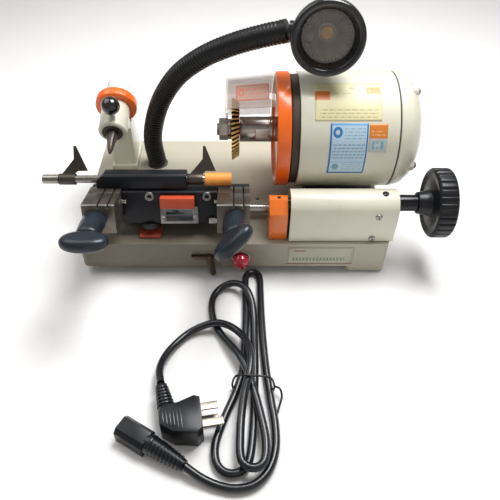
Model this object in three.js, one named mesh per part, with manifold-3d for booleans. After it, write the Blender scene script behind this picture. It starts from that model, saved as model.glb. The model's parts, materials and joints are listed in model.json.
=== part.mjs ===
// Bench key duplicating machine: motor-driven cutter, tracer post, swinging two-clamp carriage on a
// slide shaft that a hand wheel and feed screw move sideways, gooseneck work lamp, loose power lead.
// Millimetres. While modelling, X runs along the machine, Y = 0 is the base's front edge and Z = 0 the
// bench. The finished group is shifted so that the origin is under the middle of the machine.
import * as THREE from 'three';
import { mergeVertices } from 'three/addons/utils/BufferGeometryUtils.js';
import Module from 'manifold-3d';

const wasm = await Module();
wasm.setup();

// ---- driving dimensions ---------------------------------------------------------------------------
const ORIGIN = { x: 7.2, y: 55.37 };         // middle of the overall box, power lead left out
const GAP = 0.3;                            // between touching pieces
const deg = (a) => (a * Math.PI) / 180;

const BASE = { x0: -157, x1: 149, y0: 0, y1: 177, skirt: 9, top: 40, wall: 5, deck: 5.5, corner: 6 };
const LEG = { length: 40, depth: 24, bottom: 3, inset: 14 };
const SPINDLE = { y: 90.5, z: 112.5 };      // axis of motor and cutter
const CUTTER = { x0: -6.2, x1: 1.4, radius: 30, bore: 6.35 };
const CLAMP_SPACING = 122;                  // cutter to tracer, and clamp to clamp
const RIGHT_CLAMP_X = -4;
const LEFT_CLAMP_X = RIGHT_CLAMP_X - CLAMP_SPACING;
const TRACER_X = -126.5;
const MOTOR = { x0: 57, x1: 147, radius: 56, bore: 52 };
const LEAN = deg(15.4);                     // how far the parked carriage leans forward
const PIVOT = { y: 42, z: 50.5, rod: 5 };   // rod that carries and slides the carriage
const SCREW = { y: 21, z: 75, radius: 5 };  // feed screw and hand wheel
const COVER = { x0: 49.5, x1: 151.5, y0: 3.4, radius: 16, straight: 73.4, wall: 1.6 };
const JAW = { u0: -61.4, u1: -19.7, split: -35.6, w0: 3.3, w1: 31.9, width: 30 };
const TIP = { y: 63.3, z: 99.8 };           // tracer tip
const TRACER_LEAN = deg(15);
const GAUGE = { u: -16.8, w: 38.4, rod: 3.6 };

// ---- helpers ----------------------------------------------------------------------------------------
function solid(geometry) {
  const bare = geometry.index ? geometry.toNonIndexed() : geometry.clone();
  bare.deleteAttribute('normal');
  bare.deleteAttribute('uv');
  const merged = mergeVertices(bare, 1e-4);
  const vertProperties = new Float32Array(merged.attributes.position.array);
  const triVerts = new Uint32Array(merged.index.array);
  return new wasm.Manifold(new wasm.Mesh({ numProp: 3, vertProperties, triVerts }));
}

function geometryOf(manifold) {
  const mesh = manifold.getMesh();
  const geometry = new THREE.BufferGeometry();
  geometry.setAttribute('position', new THREE.BufferAttribute(new Float32Array(mesh.vertProperties), 3));
  geometry.setIndex(new THREE.BufferAttribute(new Uint32Array(mesh.triVerts), 1));
  return geometry;
}

const join = (first, ...rest) => geometryOf(rest.reduce((sum, g) => sum.add(solid(g)), solid(first)));
const cut = (first, ...rest) => geometryOf(rest.reduce((sum, g) => sum.subtract(solid(g)), solid(first)));
const meet = (first, second) => geometryOf(solid(first).intersect(solid(second)));

function box(x0, x1, y0, y1, z0, z1) {
  const g = new THREE.BoxGeometry(x1 - x0, y1 - y0, z1 - z0);
  return g.translate((x0 + x1) / 2, (y0 + y1) / 2, (z0 + z1) / 2);
}

// Turned piece about an axis through `at`; outline is [radius, distance along the axis] pairs.
function turned(outline, axis, at, segments = 32) {
  let area = 0;
  outline.forEach(([r, h], i) => {
    const [rNext, hNext] = outline[(i + 1) % outline.length];
    area += r * hNext - rNext * h;
  });
  const points = outline.map(([r, h]) => new THREE.Vector2(r, h));
  const g = new THREE.LatheGeometry(area < 0 ? points.reverse() : points, segments);
  const up = new THREE.Vector3(0, 1, 0);
  const turn = new THREE.Quaternion().setFromUnitVectors(up, new THREE.Vector3(...axis).normalize());
  return g.applyQuaternion(turn).translate(...at);
}

const rodX = (r, x0, x1, y, z, segments = 24) =>
  turned([[0, x0], [r, x0], [r, x1], [0, x1]], [1, 0, 0], [0, y, z], segments);
const rodY = (r, y0, y1, x, z, segments = 20) =>
  turned([[0, y0], [r, y0], [r, y1], [0, y1]], [0, 1, 0], [x, 0, z], segments);
const rodZ = (r, z0, z1, x, y, segments = 24) =>
  turned([[0, z0], [r, z0], [r, z1], [0, z1]], [0, 0, 1], [x, y, 0], segments);
const ringX = (rIn, rOut, x0, x1, y, z, segments = 32) =>
  turned([[rIn, x0], [rOut, x0], [rOut, x1], [rIn, x1], [rIn, x0]], [1, 0, 0], [0, y, z], segments);

// Outline of points in the (Y, Z) plane, extruded along X.
function profileX(points, x0, x1) {
  const shape = points instanceof THREE.Shape ? points : new THREE.Shape(points.map((p) => new THREE.Vector2(...p)));
  const g = new THREE.ExtrudeGeometry(shape, { depth: x1 - x0, bevelEnabled: false, curveSegments: 8 });
  const turn = new THREE.Matrix4().makeBasis(
    new THREE.Vector3(0, 1, 0), new THREE.Vector3(0, 0, 1), new THREE.Vector3(1, 0, 0));
  return g.applyMatrix4(turn).translate(x0, 0, 0);
}

// Outline of points in the (X, Y) plane, extruded along Z.
function profileZ(shape, z0, z1, curveSegments = 6) {
  return new THREE.ExtrudeGeometry(shape, { depth: z1 - z0, bevelEnabled: false, curveSegments })
    .translate(0, 0, z0);
}

// Outline of points in the (X, Z) plane, extruded along Y.
function profileY(points, y0, y1) {
  const shape = points instanceof THREE.Shape ? points : new THREE.Shape(points.map((p) => new THREE.Vector2(...p)));
  const g = new THREE.ExtrudeGeometry(shape, { depth: y1 - y0, bevelEnabled: false, curveSegments: 8 });
  const turn = new THREE.Matrix4().makeBasis(
    new THREE.Vector3(1, 0, 0), new THREE.Vector3(0, 0, 1), new THREE.Vector3(0, -1, 0));
  return g.applyMatrix4(turn).translate(0, y1, 0);
}

function roundedRect(x0, x1, y0, y1, r) {
  const s = new THREE.Shape();
  s.moveTo(x0 + r, y0);
  s.lineTo(x1 - r, y0);
  s.absarc(x1 - r, y0 + r, r, -Math.PI / 2, 0, false);
  s.lineTo(x1, y1 - r);
  s.absarc(x1 - r, y1 - r, r, 0, Math.PI / 2, false);
  s.lineTo(x0 + r, y1);
  s.absarc(x0 + r, y1 - r, r, Math.PI / 2, Math.PI, false);
  s.lineTo(x0, y0 + r);
  s.absarc(x0 + r, y0 + r, r, Math.PI, Math.PI * 1.5, false);
  return s;
}

function circle(r, sides) {
  const points = [];
  for (let i = 0; i < sides; i += 1) {
    const a = (2 * Math.PI * i) / sides;
    points.push(new THREE.Vector2(r * Math.cos(a), r * Math.sin(a)));
  }
  return new THREE.Shape(points);
}

// Tube of round section along a smooth line through the points.
function tube(points, radius, sides, steps) {
  const path = new THREE.CatmullRomCurve3(points.map((p) => new THREE.Vector3(...p)), false, 'centripetal');
  return new THREE.ExtrudeGeometry(circle(radius, sides), { steps, bevelEnabled: false, extrudePath: path });
}

const machine = new THREE.Group();
machine.position.set(-ORIGIN.x, -ORIGIN.y, 0);
const carriage = new THREE.Group();         // parked carriage: X along the rod, u to the rear, w up
carriage.position.set(0, PIVOT.y, PIVOT.z);
carriage.rotation.x = -LEAN;
machine.add(carriage);

function piece(name, geometry, colour, roughness = 0.5, metalness = 0, parent = machine) {
  const material = new THREE.MeshStandardMaterial({ color: colour, roughness, metalness });
  const mesh = new THREE.Mesh(geometry, material);
  mesh.name = name;
  parent.add(mesh);
  return mesh;
}

const CREAM = 0xd9d2ba;
const BLACK = 0x16181b;
const STEEL = 0x9a938a;
const BRIGHT = 0xc8c8c6;
const ORANGE = 0xf07818;
const RED = 0xb8281c;

// ---- base ---------------------------------------------------------------------------------------------
const INLET = { x: 90, z: 22, halfWidth: 14.5, halfHeight: 10.5 };
const BUTTON = { x: 3, z: 20.5 };
const LATCH = { x: -28.5, z: 23.5 };
const LAMP = { x: -91.6, y: 132.7 };

function makeBase() {
  const { x0, x1, y0, y1, skirt, top, wall, deck, corner } = BASE;
  const outer = profileZ(roundedRect(x0, x1, y0, y1, corner), skirt, top);
  const legs = [];
  for (const [lx0, lx1] of [[x0, x0 + LEG.length], [x1 - LEG.length, x1]]) {
    const inset = lx0 === x0 ? LEG.inset : 0;
    for (const [ly0, ly1] of [[y0 + inset, y0 + LEG.depth + inset], [y1 - LEG.depth, y1]]) {
      legs.push(profileZ(roundedRect(lx0, lx1, ly0, ly1, corner), LEG.bottom, skirt + 3));
    }
  }
  const hollow = profileZ(roundedRect(x0 + wall, x1 - wall, y0 + wall, y1 - wall, 2), skirt + 3, top - deck);
  const openX = profileZ(roundedRect(x0 + LEG.length, x1 - LEG.length, y0 + wall, y1 - wall, 2), -1, skirt + 4);
  const openY = profileZ(roundedRect(x0 + wall, x1 - wall, y0 + LEG.depth + LEG.inset, y1 - LEG.depth, 2), -1, skirt + 4);
  const namePanel = box(48, 115, y0 - 1, y0 + 0.8, 12, 36);
  const latchSlot = box(-46.5, -24, y0 - 1, y0 + wall + 1, LATCH.z - 2.3, LATCH.z + 2.3);
  const buttonHole = rodY(6.6, y0 - 1, y0 + wall + 1, BUTTON.x, BUTTON.z);
  const inletHole = box(INLET.x - INLET.halfWidth, INLET.x + INLET.halfWidth, y1 - wall - 1, y1 + 1,
    INLET.z - INLET.halfHeight, INLET.z + INLET.halfHeight);
  const deckHoles = [[104, 125, 5], [LAMP.x, LAMP.y, 5], [21, 69, 2], [-12, 74, 2]].map(([x, y, r]) =>
    rodZ(r, top - deck - 1, top + 1, x, y, 12));
  return cut(join(outer, ...legs), hollow, openX, openY, namePanel, latchSlot, buttonHole, inletHole, ...deckHoles);
}
piece('base_casting', makeBase(), CREAM, 0.45);

let footNumber = 0;
for (const x of [BASE.x0 + 19, BASE.x1 - 19]) {
  for (const y of [BASE.y0 + 12, BASE.y1 - 12]) {
    const inset = x < 0 && y < 100 ? LEG.inset : 0;
    footNumber += 1;
    piece(`rubber_foot_${footNumber}`, rodZ(9, 0, LEG.bottom - GAP, x, y + inset, 20), 0x1a1a1a, 0.9);
  }
}

// ---- motor ----------------------------------------------------------------------------------------------
const my = SPINDLE.y;
const mz = SPINDLE.z;
piece('motor_shell', ringX(MOTOR.bore, MOTOR.radius, MOTOR.x0, MOTOR.x1, my, mz, 48), CREAM, 0.42);
piece('motor_front_bell', turned([[8, 44.3], [22, 44.3], [22, 49.4], [53, 49.4], [53, 56.7], [17.4, 56.7],
  [17.4, 47], [8, 47], [8, 44.3]], [1, 0, 0], [0, my, mz], 40), 0x4a3a30, 0.6, 0.2);

function makeRearBell() {
  const bell = turned([[0, 166.5], [17.4, 166.5], [17.4, 156], [21, 156], [21, 165], [28, 164.5], [38, 161],
    [47, 154], [51.7, 147.3], [56, 147.3], [55.4, 153], [52.8, 160], [47, 166.5], [38, 171.4], [26, 174.4],
    [12, 175.6], [0, 175.6]], [1, 0, 0], [0, my, mz], 40);
  const lug = profileX([[my + 8, mz - 50], [my + 8, mz - 41], [my - 12, mz - 41], [my - 12, mz - 50]], 157, 170);
  return join(bell, lug);
}
piece('motor_rear_bell', makeRearBell(), CREAM, 0.42);

const foot = profileX([[68, BASE.top + GAP], [113, BASE.top + GAP], [113, 45], [108, 46], [108, 66], [73, 66],
  [73, 46], [68, 45]], 70, 140);
piece('motor_pedestal', cut(foot, rodX(MOTOR.radius + GAP, 60, 150, my, mz, 48)), 0x3a342c, 0.6);
piece('stator_core', ringX(31, MOTOR.bore - 0.3, 72, 132, my, mz, 32), 0x6a5a4a, 0.6, 0.5);
piece('rotor', turned([[0, 12], [7, 12], [7, 70], [30.4, 74], [30.4, 130], [7, 134], [7, 165], [0, 165]],
  [1, 0, 0], [0, my, mz], 24), STEEL, 0.35, 0.9);
piece('front_bearing', ringX(7.3, 17.1, 47.3, 56.4, my, mz, 24), BRIGHT, 0.25, 0.95);
piece('rear_bearing', ringX(7.3, 17.1, 157, 166.2, my, mz, 24), BRIGHT, 0.25, 0.95);

// ---- cutter and its guard ---------------------------------------------------------------------------------
piece('guard_flange', turned([[22.6, 40.5], [49.5, 39.5], [51.5, 35.5], [55.6, 36.2], [55.6, 49], [52, 49],
  [51.2, 44], [22.6, 43.6], [22.6, 40.5]], [1, 0, 0], [0, my, mz], 48), ORANGE, 0.4);

const GUARD = { x0: -12, x1: 35.2, r0: 49, r1: 54, wall: 2.4, from: -15, to: 125 };
function makeGuard() {
  const { x0, x1, r0, r1, wall, from, to } = GUARD;
  const shell = turned([[16, x0], [r0, x0], [r1, x1], [r1 - wall, x1], [r0 - wall, x0 + wall], [16, x0 + wall],
    [16, x0]], [1, 0, 0], [0, my, mz], 48);
  const wedge = [[my, mz]];
  for (let i = 0; i <= 4; i += 1) {
    const a = deg(from + ((to - from) * i) / 4);
    wedge.push([my + 90 * Math.cos(a), mz + 90 * Math.sin(a)]);
  }
  return meet(shell, profileX(wedge, x0 - 1, x1 + 1));
}
piece('cutter_guard', makeGuard(), 0xe8e4e0, 0.1);

const sleeve = turned([[0, -21], [6, -21], [6, 1.7], [12.4, 1.7], [12.4, 44], [7.3, 44], [7.3, 11.5],
  [0, 11.5]], [1, 0, 0], [0, my, mz], 28);
piece('arbor', cut(sleeve, box(17, 30, my - 20, my - 10.6, mz - 20, mz + 20),
  box(17, 30, my + 10.6, my + 20, mz - 20, mz + 20)), BRIGHT, 0.25, 0.95);
piece('cutter', turned([[CUTTER.bore, CUTTER.x0], [CUTTER.radius, CUTTER.x0], [CUTTER.radius, CUTTER.x0 + 1],
  [CUTTER.radius - 4.4, CUTTER.x1], [CUTTER.bore, CUTTER.x1], [CUTTER.bore, CUTTER.x0]],
  [1, 0, 0], [0, my, mz], 60), 0xc59a3e, 0.3, 0.9);
const nut = turned([[7.3, -19], [11, -19], [11, -9.8], [7.3, -9.8], [7.3, -19]], [1, 0, 0], [0, my, mz], 6);
piece('arbor_nut', join(nut, ringX(6.3, 10, -9.8, -6.5, my, mz, 24)), STEEL, 0.3, 0.95);

// ---- tracer -----------------------------------------------------------------------------------------------------
const tracer = new THREE.Group();           // local +Y runs from the tracer tip up into the post
tracer.position.set(TRACER_X, TIP.y, TIP.z);
tracer.rotation.x = TRACER_LEAN;
machine.add(tracer);
const AXIS = [0, Math.cos(TRACER_LEAN), Math.sin(TRACER_LEAN)];
const onAxis = (outline, segments = 28) => turned(outline, AXIS, [TRACER_X, TIP.y, TIP.z], segments);
const turnY = (outline, segments = 28) => turned(outline, [0, 1, 0], [0, 0, 0], segments);
const LOCK = { x: TRACER_X, y: 106, z: 128 };

function makePost() {
  const column = profileX([[122.5, BASE.top + GAP], [165, BASE.top + GAP], [161, 56], [138, 112], [127, 126],
    [104, 119], [110, 100], [124, 92]], TRACER_X - 12, TRACER_X + 12);
  const pad = profileX([[120, BASE.top + GAP], [166, BASE.top + GAP], [166, 46], [120, 46]],
    TRACER_X - 14.5, TRACER_X + 13.5);
  const barrel = onAxis([[0, 29], [13, 29], [14.5, 30.5], [14.5, 61.7], [0, 61.7]]);
  const boss = rodZ(6, 112, 126.5, LOCK.x, LOCK.y, 20);
  const bore = onAxis([[0, 20], [6, 20], [6, 62], [0, 62]], 24);
  const room = onAxis([[0, 61.7], [24, 61.7], [24, 120], [0, 120]], 24);
  return cut(join(column, pad, barrel, boss), bore, room, rodZ(3.4, 108, 140, LOCK.x, LOCK.y, 16));
}
piece('tracer_post', makePost(), CREAM, 0.45);

piece('tracer_ring', turnY([[5.9, 62], [20, 62], [21.4, 63.5], [21.4, 71.5], [19, 73.7], [5.9, 73.7], [5.9, 62]], 36),
  ORANGE, 0.4, 0, tracer);
piece('tracer_cap', turnY([[5.9, 74], [12.5, 74], [12.5, 95], [10.5, 98], [0, 98], [0, 92], [5.9, 92], [5.9, 74]]),
  0xf0eee6, 0.35, 0, tracer);
piece('tracer_stylus', turnY([[0, 0], [1.2, 0.6], [3.4, 8], [5.5, 20], [5.6, 91], [0, 91]], 20),
  0x4a4038, 0.35, 0.85, tracer);

function makeLock() {
  const shaft = rodZ(3, 118, 131, LOCK.x, LOCK.y, 16);
  const hub = rodZ(5.5, 128.2, 132.8, LOCK.x, LOCK.y, 20);
  const arm = tube([[LOCK.x, LOCK.y, 130.3], [TRACER_X + 1.4, 100, 132.5], [-124.4, 96, 135]], 2.6, 10, 4);
  const ball = new THREE.SphereGeometry(9.2, 20, 14).translate(-124.4, 94.5, 136.2);
  return join(shaft, hub, arm, ball);
}
piece('tracer_lock', makeLock(), BLACK, 0.2);

// ---- feed drive: hand wheel, screw and the arm that pushes the rod ----------------------------------------------
const blockShape = [[6.6, BASE.top + GAP], [34.4, BASE.top + GAP], [34.4, 71.6], [24, 82], [17, 82], [6.6, 71.6]];
piece('screw_bearing_block', cut(profileX(blockShape, 30, 47.5), rodX(SCREW.radius + GAP, 40, 50, SCREW.y, SCREW.z),
  rodZ(1.3, 78, 84, 39, 20.5, 10)), ORANGE, 0.4);

function archShape(inset, bottom) {
  const { y0, radius, straight } = COVER;
  const yc = y0 + radius;
  const r = radius - inset;
  const s = new THREE.Shape();
  s.moveTo(yc - r, bottom);
  s.lineTo(yc + r, bottom);
  s.lineTo(yc + r, straight);
  s.absarc(yc, straight, r, 0, Math.PI, false);
  s.lineTo(yc - r, bottom);
  return s;
}
const ARM = { x0: 94, x1: 106 };
const TRAVEL = { left: 20, right: 15 };
function makeCover() {
  const outer = profileX(archShape(0, BASE.top + GAP), COVER.x0, COVER.x1);
  const inner = profileX(archShape(COVER.wall, BASE.top - 1), COVER.x0 - 1, COVER.x1 - COVER.wall);
  const slot = box(ARM.x0 - TRAVEL.left - 2, ARM.x1 + TRAVEL.right + 2, 28, 40, BASE.top - 1, 62);
  const notch = box(COVER.x0 - 1, 66, 30, 40, BASE.top - 1, 62);
  return cut(outer, inner, slot, notch, rodX(8.4, 140, 160, SCREW.y, SCREW.z));
}
piece('feed_cover', makeCover(), CREAM, 0.42);

const WHEEL = { hub: 171, rim: 183, x1: 201, radius: 33.6 };
function makeWheel() {
  const disc = turned([[8.3, WHEEL.hub], [10.5, WHEEL.hub], [12, 180], [14, WHEEL.rim], [31.5, WHEEL.rim],
    [WHEEL.radius, WHEEL.rim + 2], [WHEEL.radius, WHEEL.x1 - 2], [31.5, WHEEL.x1], [12, WHEEL.x1 - 2],
    [8.3, WHEEL.x1 - 2], [8.3, WHEEL.hub]], [1, 0, 0], [0, SCREW.y, SCREW.z], 48);
  const grooves = [];
  for (let i = 0; i < 12; i += 1) {
    const a = deg(30 * i + 15);
    grooves.push(rodX(2.4, WHEEL.rim - 1, WHEEL.x1 + 1, SCREW.y + (WHEEL.radius + 1.2) * Math.cos(a),
      SCREW.z + (WHEEL.radius + 1.2) * Math.sin(a), 10));
  }
  return cut(disc, ...grooves);
}
piece('handwheel', makeWheel(), BLACK, 0.35);
piece('feed_screw', turned([[0, 41], [SCREW.radius, 41], [SCREW.radius, 138], [8, 138], [8, 198], [0, 198]],
  [1, 0, 0], [0, SCREW.y, SCREW.z], 24), STEEL, 0.3, 0.9);

piece('pivot_rod', rodX(PIVOT.rod, -156, 140, PIVOT.y, PIVOT.z, 24), BRIGHT, 0.2, 0.95);
function makeArm() {
  const nutBlock = profileX([[13, 66], [31.5, 66], [31.5, 80], [27, 85], [13, 84]], ARM.x0, ARM.x1);
  const lever = profileX([[26, 45], [42, 45], [42, 56], [32, 60.5], [31.5, 67], [26, 67]], ARM.x0, ARM.x1);
  const eye = rodX(8.5, ARM.x0, ARM.x1, PIVOT.y, PIVOT.z, 24);
  return cut(join(nutBlock, lever, eye), rodX(PIVOT.rod + GAP, ARM.x0 - 1, ARM.x1 + 1, PIVOT.y, PIVOT.z, 24),
    rodX(SCREW.radius + GAP, ARM.x0 - 1, ARM.x1 + 1, SCREW.y, SCREW.z, 24));
}
piece('feed_arm', makeArm(), 0x3a342c, 0.5, 0.6);

function makeSupport(x0, x1) {
  const { y, z } = PIVOT;
  const column = profileX([[y - 9.5, BASE.top + GAP], [y + 9.5, BASE.top + GAP], [y + 9.5, z], [y - 9.5, z]], x0, x1);
  return cut(join(column, rodX(9.5, x0, x1, y, z, 24)), rodX(PIVOT.rod + GAP, x0 - 1, x1 + 1, y, z, 24));
}
piece('left_rod_block', makeSupport(-156, -144), 0x2a2a2a, 0.5, 0.5);
piece('right_rod_block', makeSupport(52, 64), 0x2a2a2a, 0.5, 0.5);

// ---- carriage, in its leaning frame ---------------------------------------------------------------------------------------
const BODY = { x0: LEFT_CLAMP_X + 15.3, x1: RIGHT_CLAMP_X - 15.3, hub0: -118, hub1: -20 };
function makeCarriageBody() {
  const { x0, x1, hub0, hub1 } = BODY;
  const main = profileX([[-27.6, -3], [-5, -3], [8, 2], [8, 26], [4, 30], [-26.6, 30], [-27.6, 29]],
    x0 + 0.4, x1 - 0.4);
  const beam = profileX([[-19.4, 12], [-8, 12], [-8, 30], [-19.4, 30]], LEFT_CLAMP_X - 15, RIGHT_CLAMP_X + 15);
  const hub = rodX(8.5, hub0, hub1, 0, 0, 28);
  const pocket = box(-74.4, -41, -28.6, -23.6, 15.1, 26.9);
  return cut(join(main, beam, hub), pocket, rodX(PIVOT.rod + GAP, hub0 - 1, hub1 + 1, 0, 0, 24));
}
piece('carriage_body', makeCarriageBody(), BLACK, 0.45, 0, carriage);

function makeRail() {
  const bar = profileX([[-25, 32.3], [-8.6, 32.3], [-8.6, 43], [-11, 46], [-23, 46], [-25, 44]], -134, -48.8);
  const end = profileY([[-142, 32], [-126, 47], [-142, 47]], -30, 0);
  return cut(bar, rodX(GAUGE.rod + GAP, -140, -40, GAUGE.u, GAUGE.w, 20), end);
}
piece('gauge_rail', makeRail(), BLACK, 0.4, 0, carriage);

piece('gauge_shaft', turned([[0, -186.6], [4.1, -186.6], [4.5, -186], [4.5, -171.4], [GAUGE.rod, -171.2],
  [GAUGE.rod, -8], [0, -8]], [1, 0, 0], [0, GAUGE.u, GAUGE.w], 20), BRIGHT, 0.25, 0.95, carriage);

// A fishtail gauge: collar on the shaft, slanted stem and a two-pointed blade.
function makeFishtail(collar0, collar1, shift) {
  const collar = ringX(GAUGE.rod + GAP, 5.4, collar0, collar1, GAUGE.u, GAUGE.w, 20);
  const blade = new THREE.Shape([[-48.4, 2], [-37.5, 2], [-30.4, 7.8], [-21.2, 7.8], [-31, 31.4], [-33, 31.4],
    [-33.6, 19]].map(([x, r]) => new THREE.Vector2(x + shift, r)));
  const plate = new THREE.ExtrudeGeometry(blade, { depth: 2.4, bevelEnabled: false })
    .rotateX(Math.PI / 2).translate(0, 1.2, 0).rotateX(deg(-14.5)).translate(0, GAUGE.u, GAUGE.w);
  return cut(join(collar, plate), rodX(GAUGE.rod + GAP, collar0 - 30, collar1 + 30, GAUGE.u, GAUGE.w, 20));
}
piece('left_fishtail', makeFishtail(-170.8, -155, -CLAMP_SPACING), 0x6a5e54, 0.35, 0.9, carriage);
piece('right_fishtail', makeFishtail(-48.4, -33.5, 0), 0x6a5e54, 0.35, 0.9, carriage);
piece('gauge_sleeve', turned([[GAUGE.rod + GAP, -31.6], [5.9, -31.6], [6.2, -31.2], [6.2, -6.6], [5.9, -6.2], [0, -6.2],
  [0, -7.6], [GAUGE.rod + GAP, -7.6], [GAUGE.rod + GAP, -31.6]], [1, 0, 0], [0, GAUGE.u, GAUGE.w], 24),
  0xf39a3a, 0.45, 0, carriage);

// Jaw block between u0 and u1, with two key slots across its top.
const KNOB = { w: 18, stud: 4, boss: 8.6, wing0: -95, wing1: -118, half: 21, thick: 5 };
function makeJaw(centre, knobX, u0, u1) {
  const half = JAW.width / 2;
  const body = profileX([[u0, JAW.w0], [u1, JAW.w0], [u1, JAW.w1], [u0, JAW.w1]], centre - half, centre + half);
  const slots = [0, 9].map((dx) => box(centre + dx - 0.7, centre + dx + 0.7, u0 - 1, u1 + 1, JAW.w1 - 4, JAW.w1 + 1));
  return cut(body, ...slots, rodY(KNOB.stud + GAP, u0 - 1, u1 + 1, knobX, KNOB.w, 16));
}

// Wing knob: stud, boss and an oval wing turned by `turn` about the stud's axis.
function makeKnob(knobX, turn) {
  const stud = rodY(KNOB.stud, JAW.u0 - 6, JAW.u1 - 1, 0, 0, 16);
  const boss = turned([[0, JAW.u0 - GAP], [KNOB.boss, JAW.u0 - GAP], [KNOB.boss, -74], [7.6, -80], [7.6, -100],
    [0, -100]], [0, 1, 0], [0, 0, 0], 20);
  const outline = new THREE.Shape();
  outline.absellipse(0, (KNOB.wing0 + KNOB.wing1) / 2, KNOB.half, (KNOB.wing0 - KNOB.wing1) / 2, 0, Math.PI * 2, false);
  const wing = profileZ(outline, -KNOB.thick, KNOB.thick, 12);
  return join(stud, boss, wing).rotateY(turn).translate(knobX, 0, KNOB.w);
}
for (const [side, centre, knobX, turn] of [['left', LEFT_CLAMP_X, LEFT_CLAMP_X - 3.5, 0],
  ['right', RIGHT_CLAMP_X, RIGHT_CLAMP_X, deg(-45)]]) {
  piece(`${side}_rear_jaw`, makeJaw(centre, knobX, JAW.split + 0.2, JAW.u1), STEEL, 0.4, 0.9, carriage);
  piece(`${side}_front_jaw`, makeJaw(centre, knobX, JAW.u0, JAW.split - 0.2), STEEL, 0.4, 0.9, carriage);
  piece(`${side}_wing_knob`, makeKnob(knobX, turn), 0x26323c, 0.35, 0, carriage);
}

const front = -27.6;
piece('release_button', box(-74, -41.4, front - 8, front - GAP, 15.5, 26.5), RED, 0.5, 0, carriage);
const badge = box(-74.7, -38.3, front - 3, front - GAP, -2.5, 15.2);
piece('badge_frame', cut(badge, box(-69, -44, front - 4, front - 1.6, 0.8, 12.6)), BRIGHT, 0.4, 0.9, carriage);
piece('stop_screw', join(rodZ(9, -8.8, -3.3, -86, -23, 20), rodZ(4, -11, -8, -86, -23, 16)), BLACK, 0.6, 0, carriage);

// ---- base furniture -------------------------------------------------------------------------------------------------------
piece('stop_pad', box(-97, -76, 8, 24, BASE.top + GAP, 43), 0xc8452a, 0.5);

const button = turned([[0, -9], [5.4, -9], [5.4, 3], [8.4, 3], [8.2, 5.8], [6.8, 8.9], [3.8, 11.2], [0, 12]],
  [0, -1, 0], [BUTTON.x, BASE.y0, BUTTON.z], 24);
piece('power_button', button, 0xa01428, 0.25);
piece('switch_body', join(box(BUTTON.x - 9, BUTTON.x + 9, 14, 36, BUTTON.z - 9, BUTTON.z + 9)), 0x303030, 0.5);

function makeInlet() {
  const face = BASE.y1;
  const plate = box(INLET.x - 20, INLET.x + 20, face + 0.4, face + 2.3, INLET.z - 12, INLET.z + 12);
  const shell = box(INLET.x - 14.1, INLET.x + 14.1, face - 18, face + 1, INLET.z - 10.1, INLET.z + 10.1);
  const cavity = box(INLET.x - 12, INLET.x + 12, face - 15, face + 5, INLET.z - 8, INLET.z + 8);
  const pins = [[-7, -1.5], [0, 2.5], [7, -1.5]].map(([dx, dz]) =>
    box(INLET.x + dx - 1, INLET.x + dx + 1, face - 16, face - 2, INLET.z + dz - 2, INLET.z + dz + 2));
  return join(cut(join(plate, shell), cavity), ...pins);
}
piece('inlet_socket', makeInlet(), 0x202020, 0.5);

const latch = join(
  rodY(3.4, -6, -0.4, LATCH.x, LATCH.z, 14),
  rodY(1.8, -2, 9, LATCH.x, LATCH.z, 12),
  box(-45, LATCH.x, -3.4, -0.6, LATCH.z - 1.8, LATCH.z + 1.8),
  turned([[0, 0], [2.6, 0], [3.1, 3], [3.2, 20], [0, 22.6]], [0.18, -0.1, -1], [LATCH.x, -3.4, LATCH.z], 12));
piece('latch_lever', latch, 0x5a3c26, 0.4, 0.7);

// ---- work lamp --------------------------------------------------------------------------------------------------------------
const NECK = 10.4;
const neckLower = [[-91.6, 132.7, BASE.top + 2], [-94.4, 135, 69.6], [-88.6, 133.2, 98.7], [-77.4, 129.2, 126.4],
  [-59.8, 123.6, 152.4]];
const neckUpper = [[-56.6, 122.6, 156.2], [-32.3, 116, 176.4], [-4.8, 108, 192], [21.1, 100.9, 202.8],
  [42.6, 95.5, 210]];
piece('gooseneck_lower', tube(neckLower, NECK, 14, 10), BLACK, 0.6);
piece('gooseneck_upper', tube(neckUpper, NECK, 14, 9), BLACK, 0.6);

const HEAD_FRONT = [76.6, 71, 213];
const HEAD_BACK = new THREE.Vector3(0.1, 0.982, -0.156).normalize().toArray();
function makeLampHead() {
  const body = turned([[0, 38], [17, 38], [21, 34], [23, 24], [31, 13], [32.5, 9], [32.5, 2], [31, 0], [25.5, 0],
    [22.8, 11], [0, 11]], HEAD_BACK, HEAD_FRONT, 36);
  const knuckle = tube([[45.4, 94.8, 210.8], [54, 92.6, 210.8], [66, 90.5, 208]], 7.6, 14, 3);
  const inside = turned([[0, -5], [25.5, -5], [25.5, 0], [22.8, 11], [0, 11]], HEAD_BACK, HEAD_FRONT, 36);
  return cut(join(body, knuckle), inside);
}
piece('lamp_head', makeLampHead(), BLACK, 0.35);
piece('lamp_lens', turned([[0, 10.7], [22.4, 10.7], [23, 8.5], [0, 8.5]], HEAD_BACK, HEAD_FRONT, 32), 0xb8b0a8, 0.15);

// ---- loose power lead, lying in front of the machine ---------------------------------------------------------------------------
const CORD = 3.4;                           // radius of the mains lead
piece('lead_connector_end', tube([[-37.4, -206.2, 8], [-31.6, -211, 6.2], [-25.6, -215, 4.6]], CORD, 10, 3), BLACK, 0.5);
piece('lead_plug_end', tube([[-64.4, -140.4, 14.6], [-67.2, -126, 12.5], [-65.6, -111, 8], [-59, -97, 4.6], [-46.9, -82.5, 3.7],
  [-30.5, -74.5, 3.7]], CORD, 10, 9), BLACK, 0.5);

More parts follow.
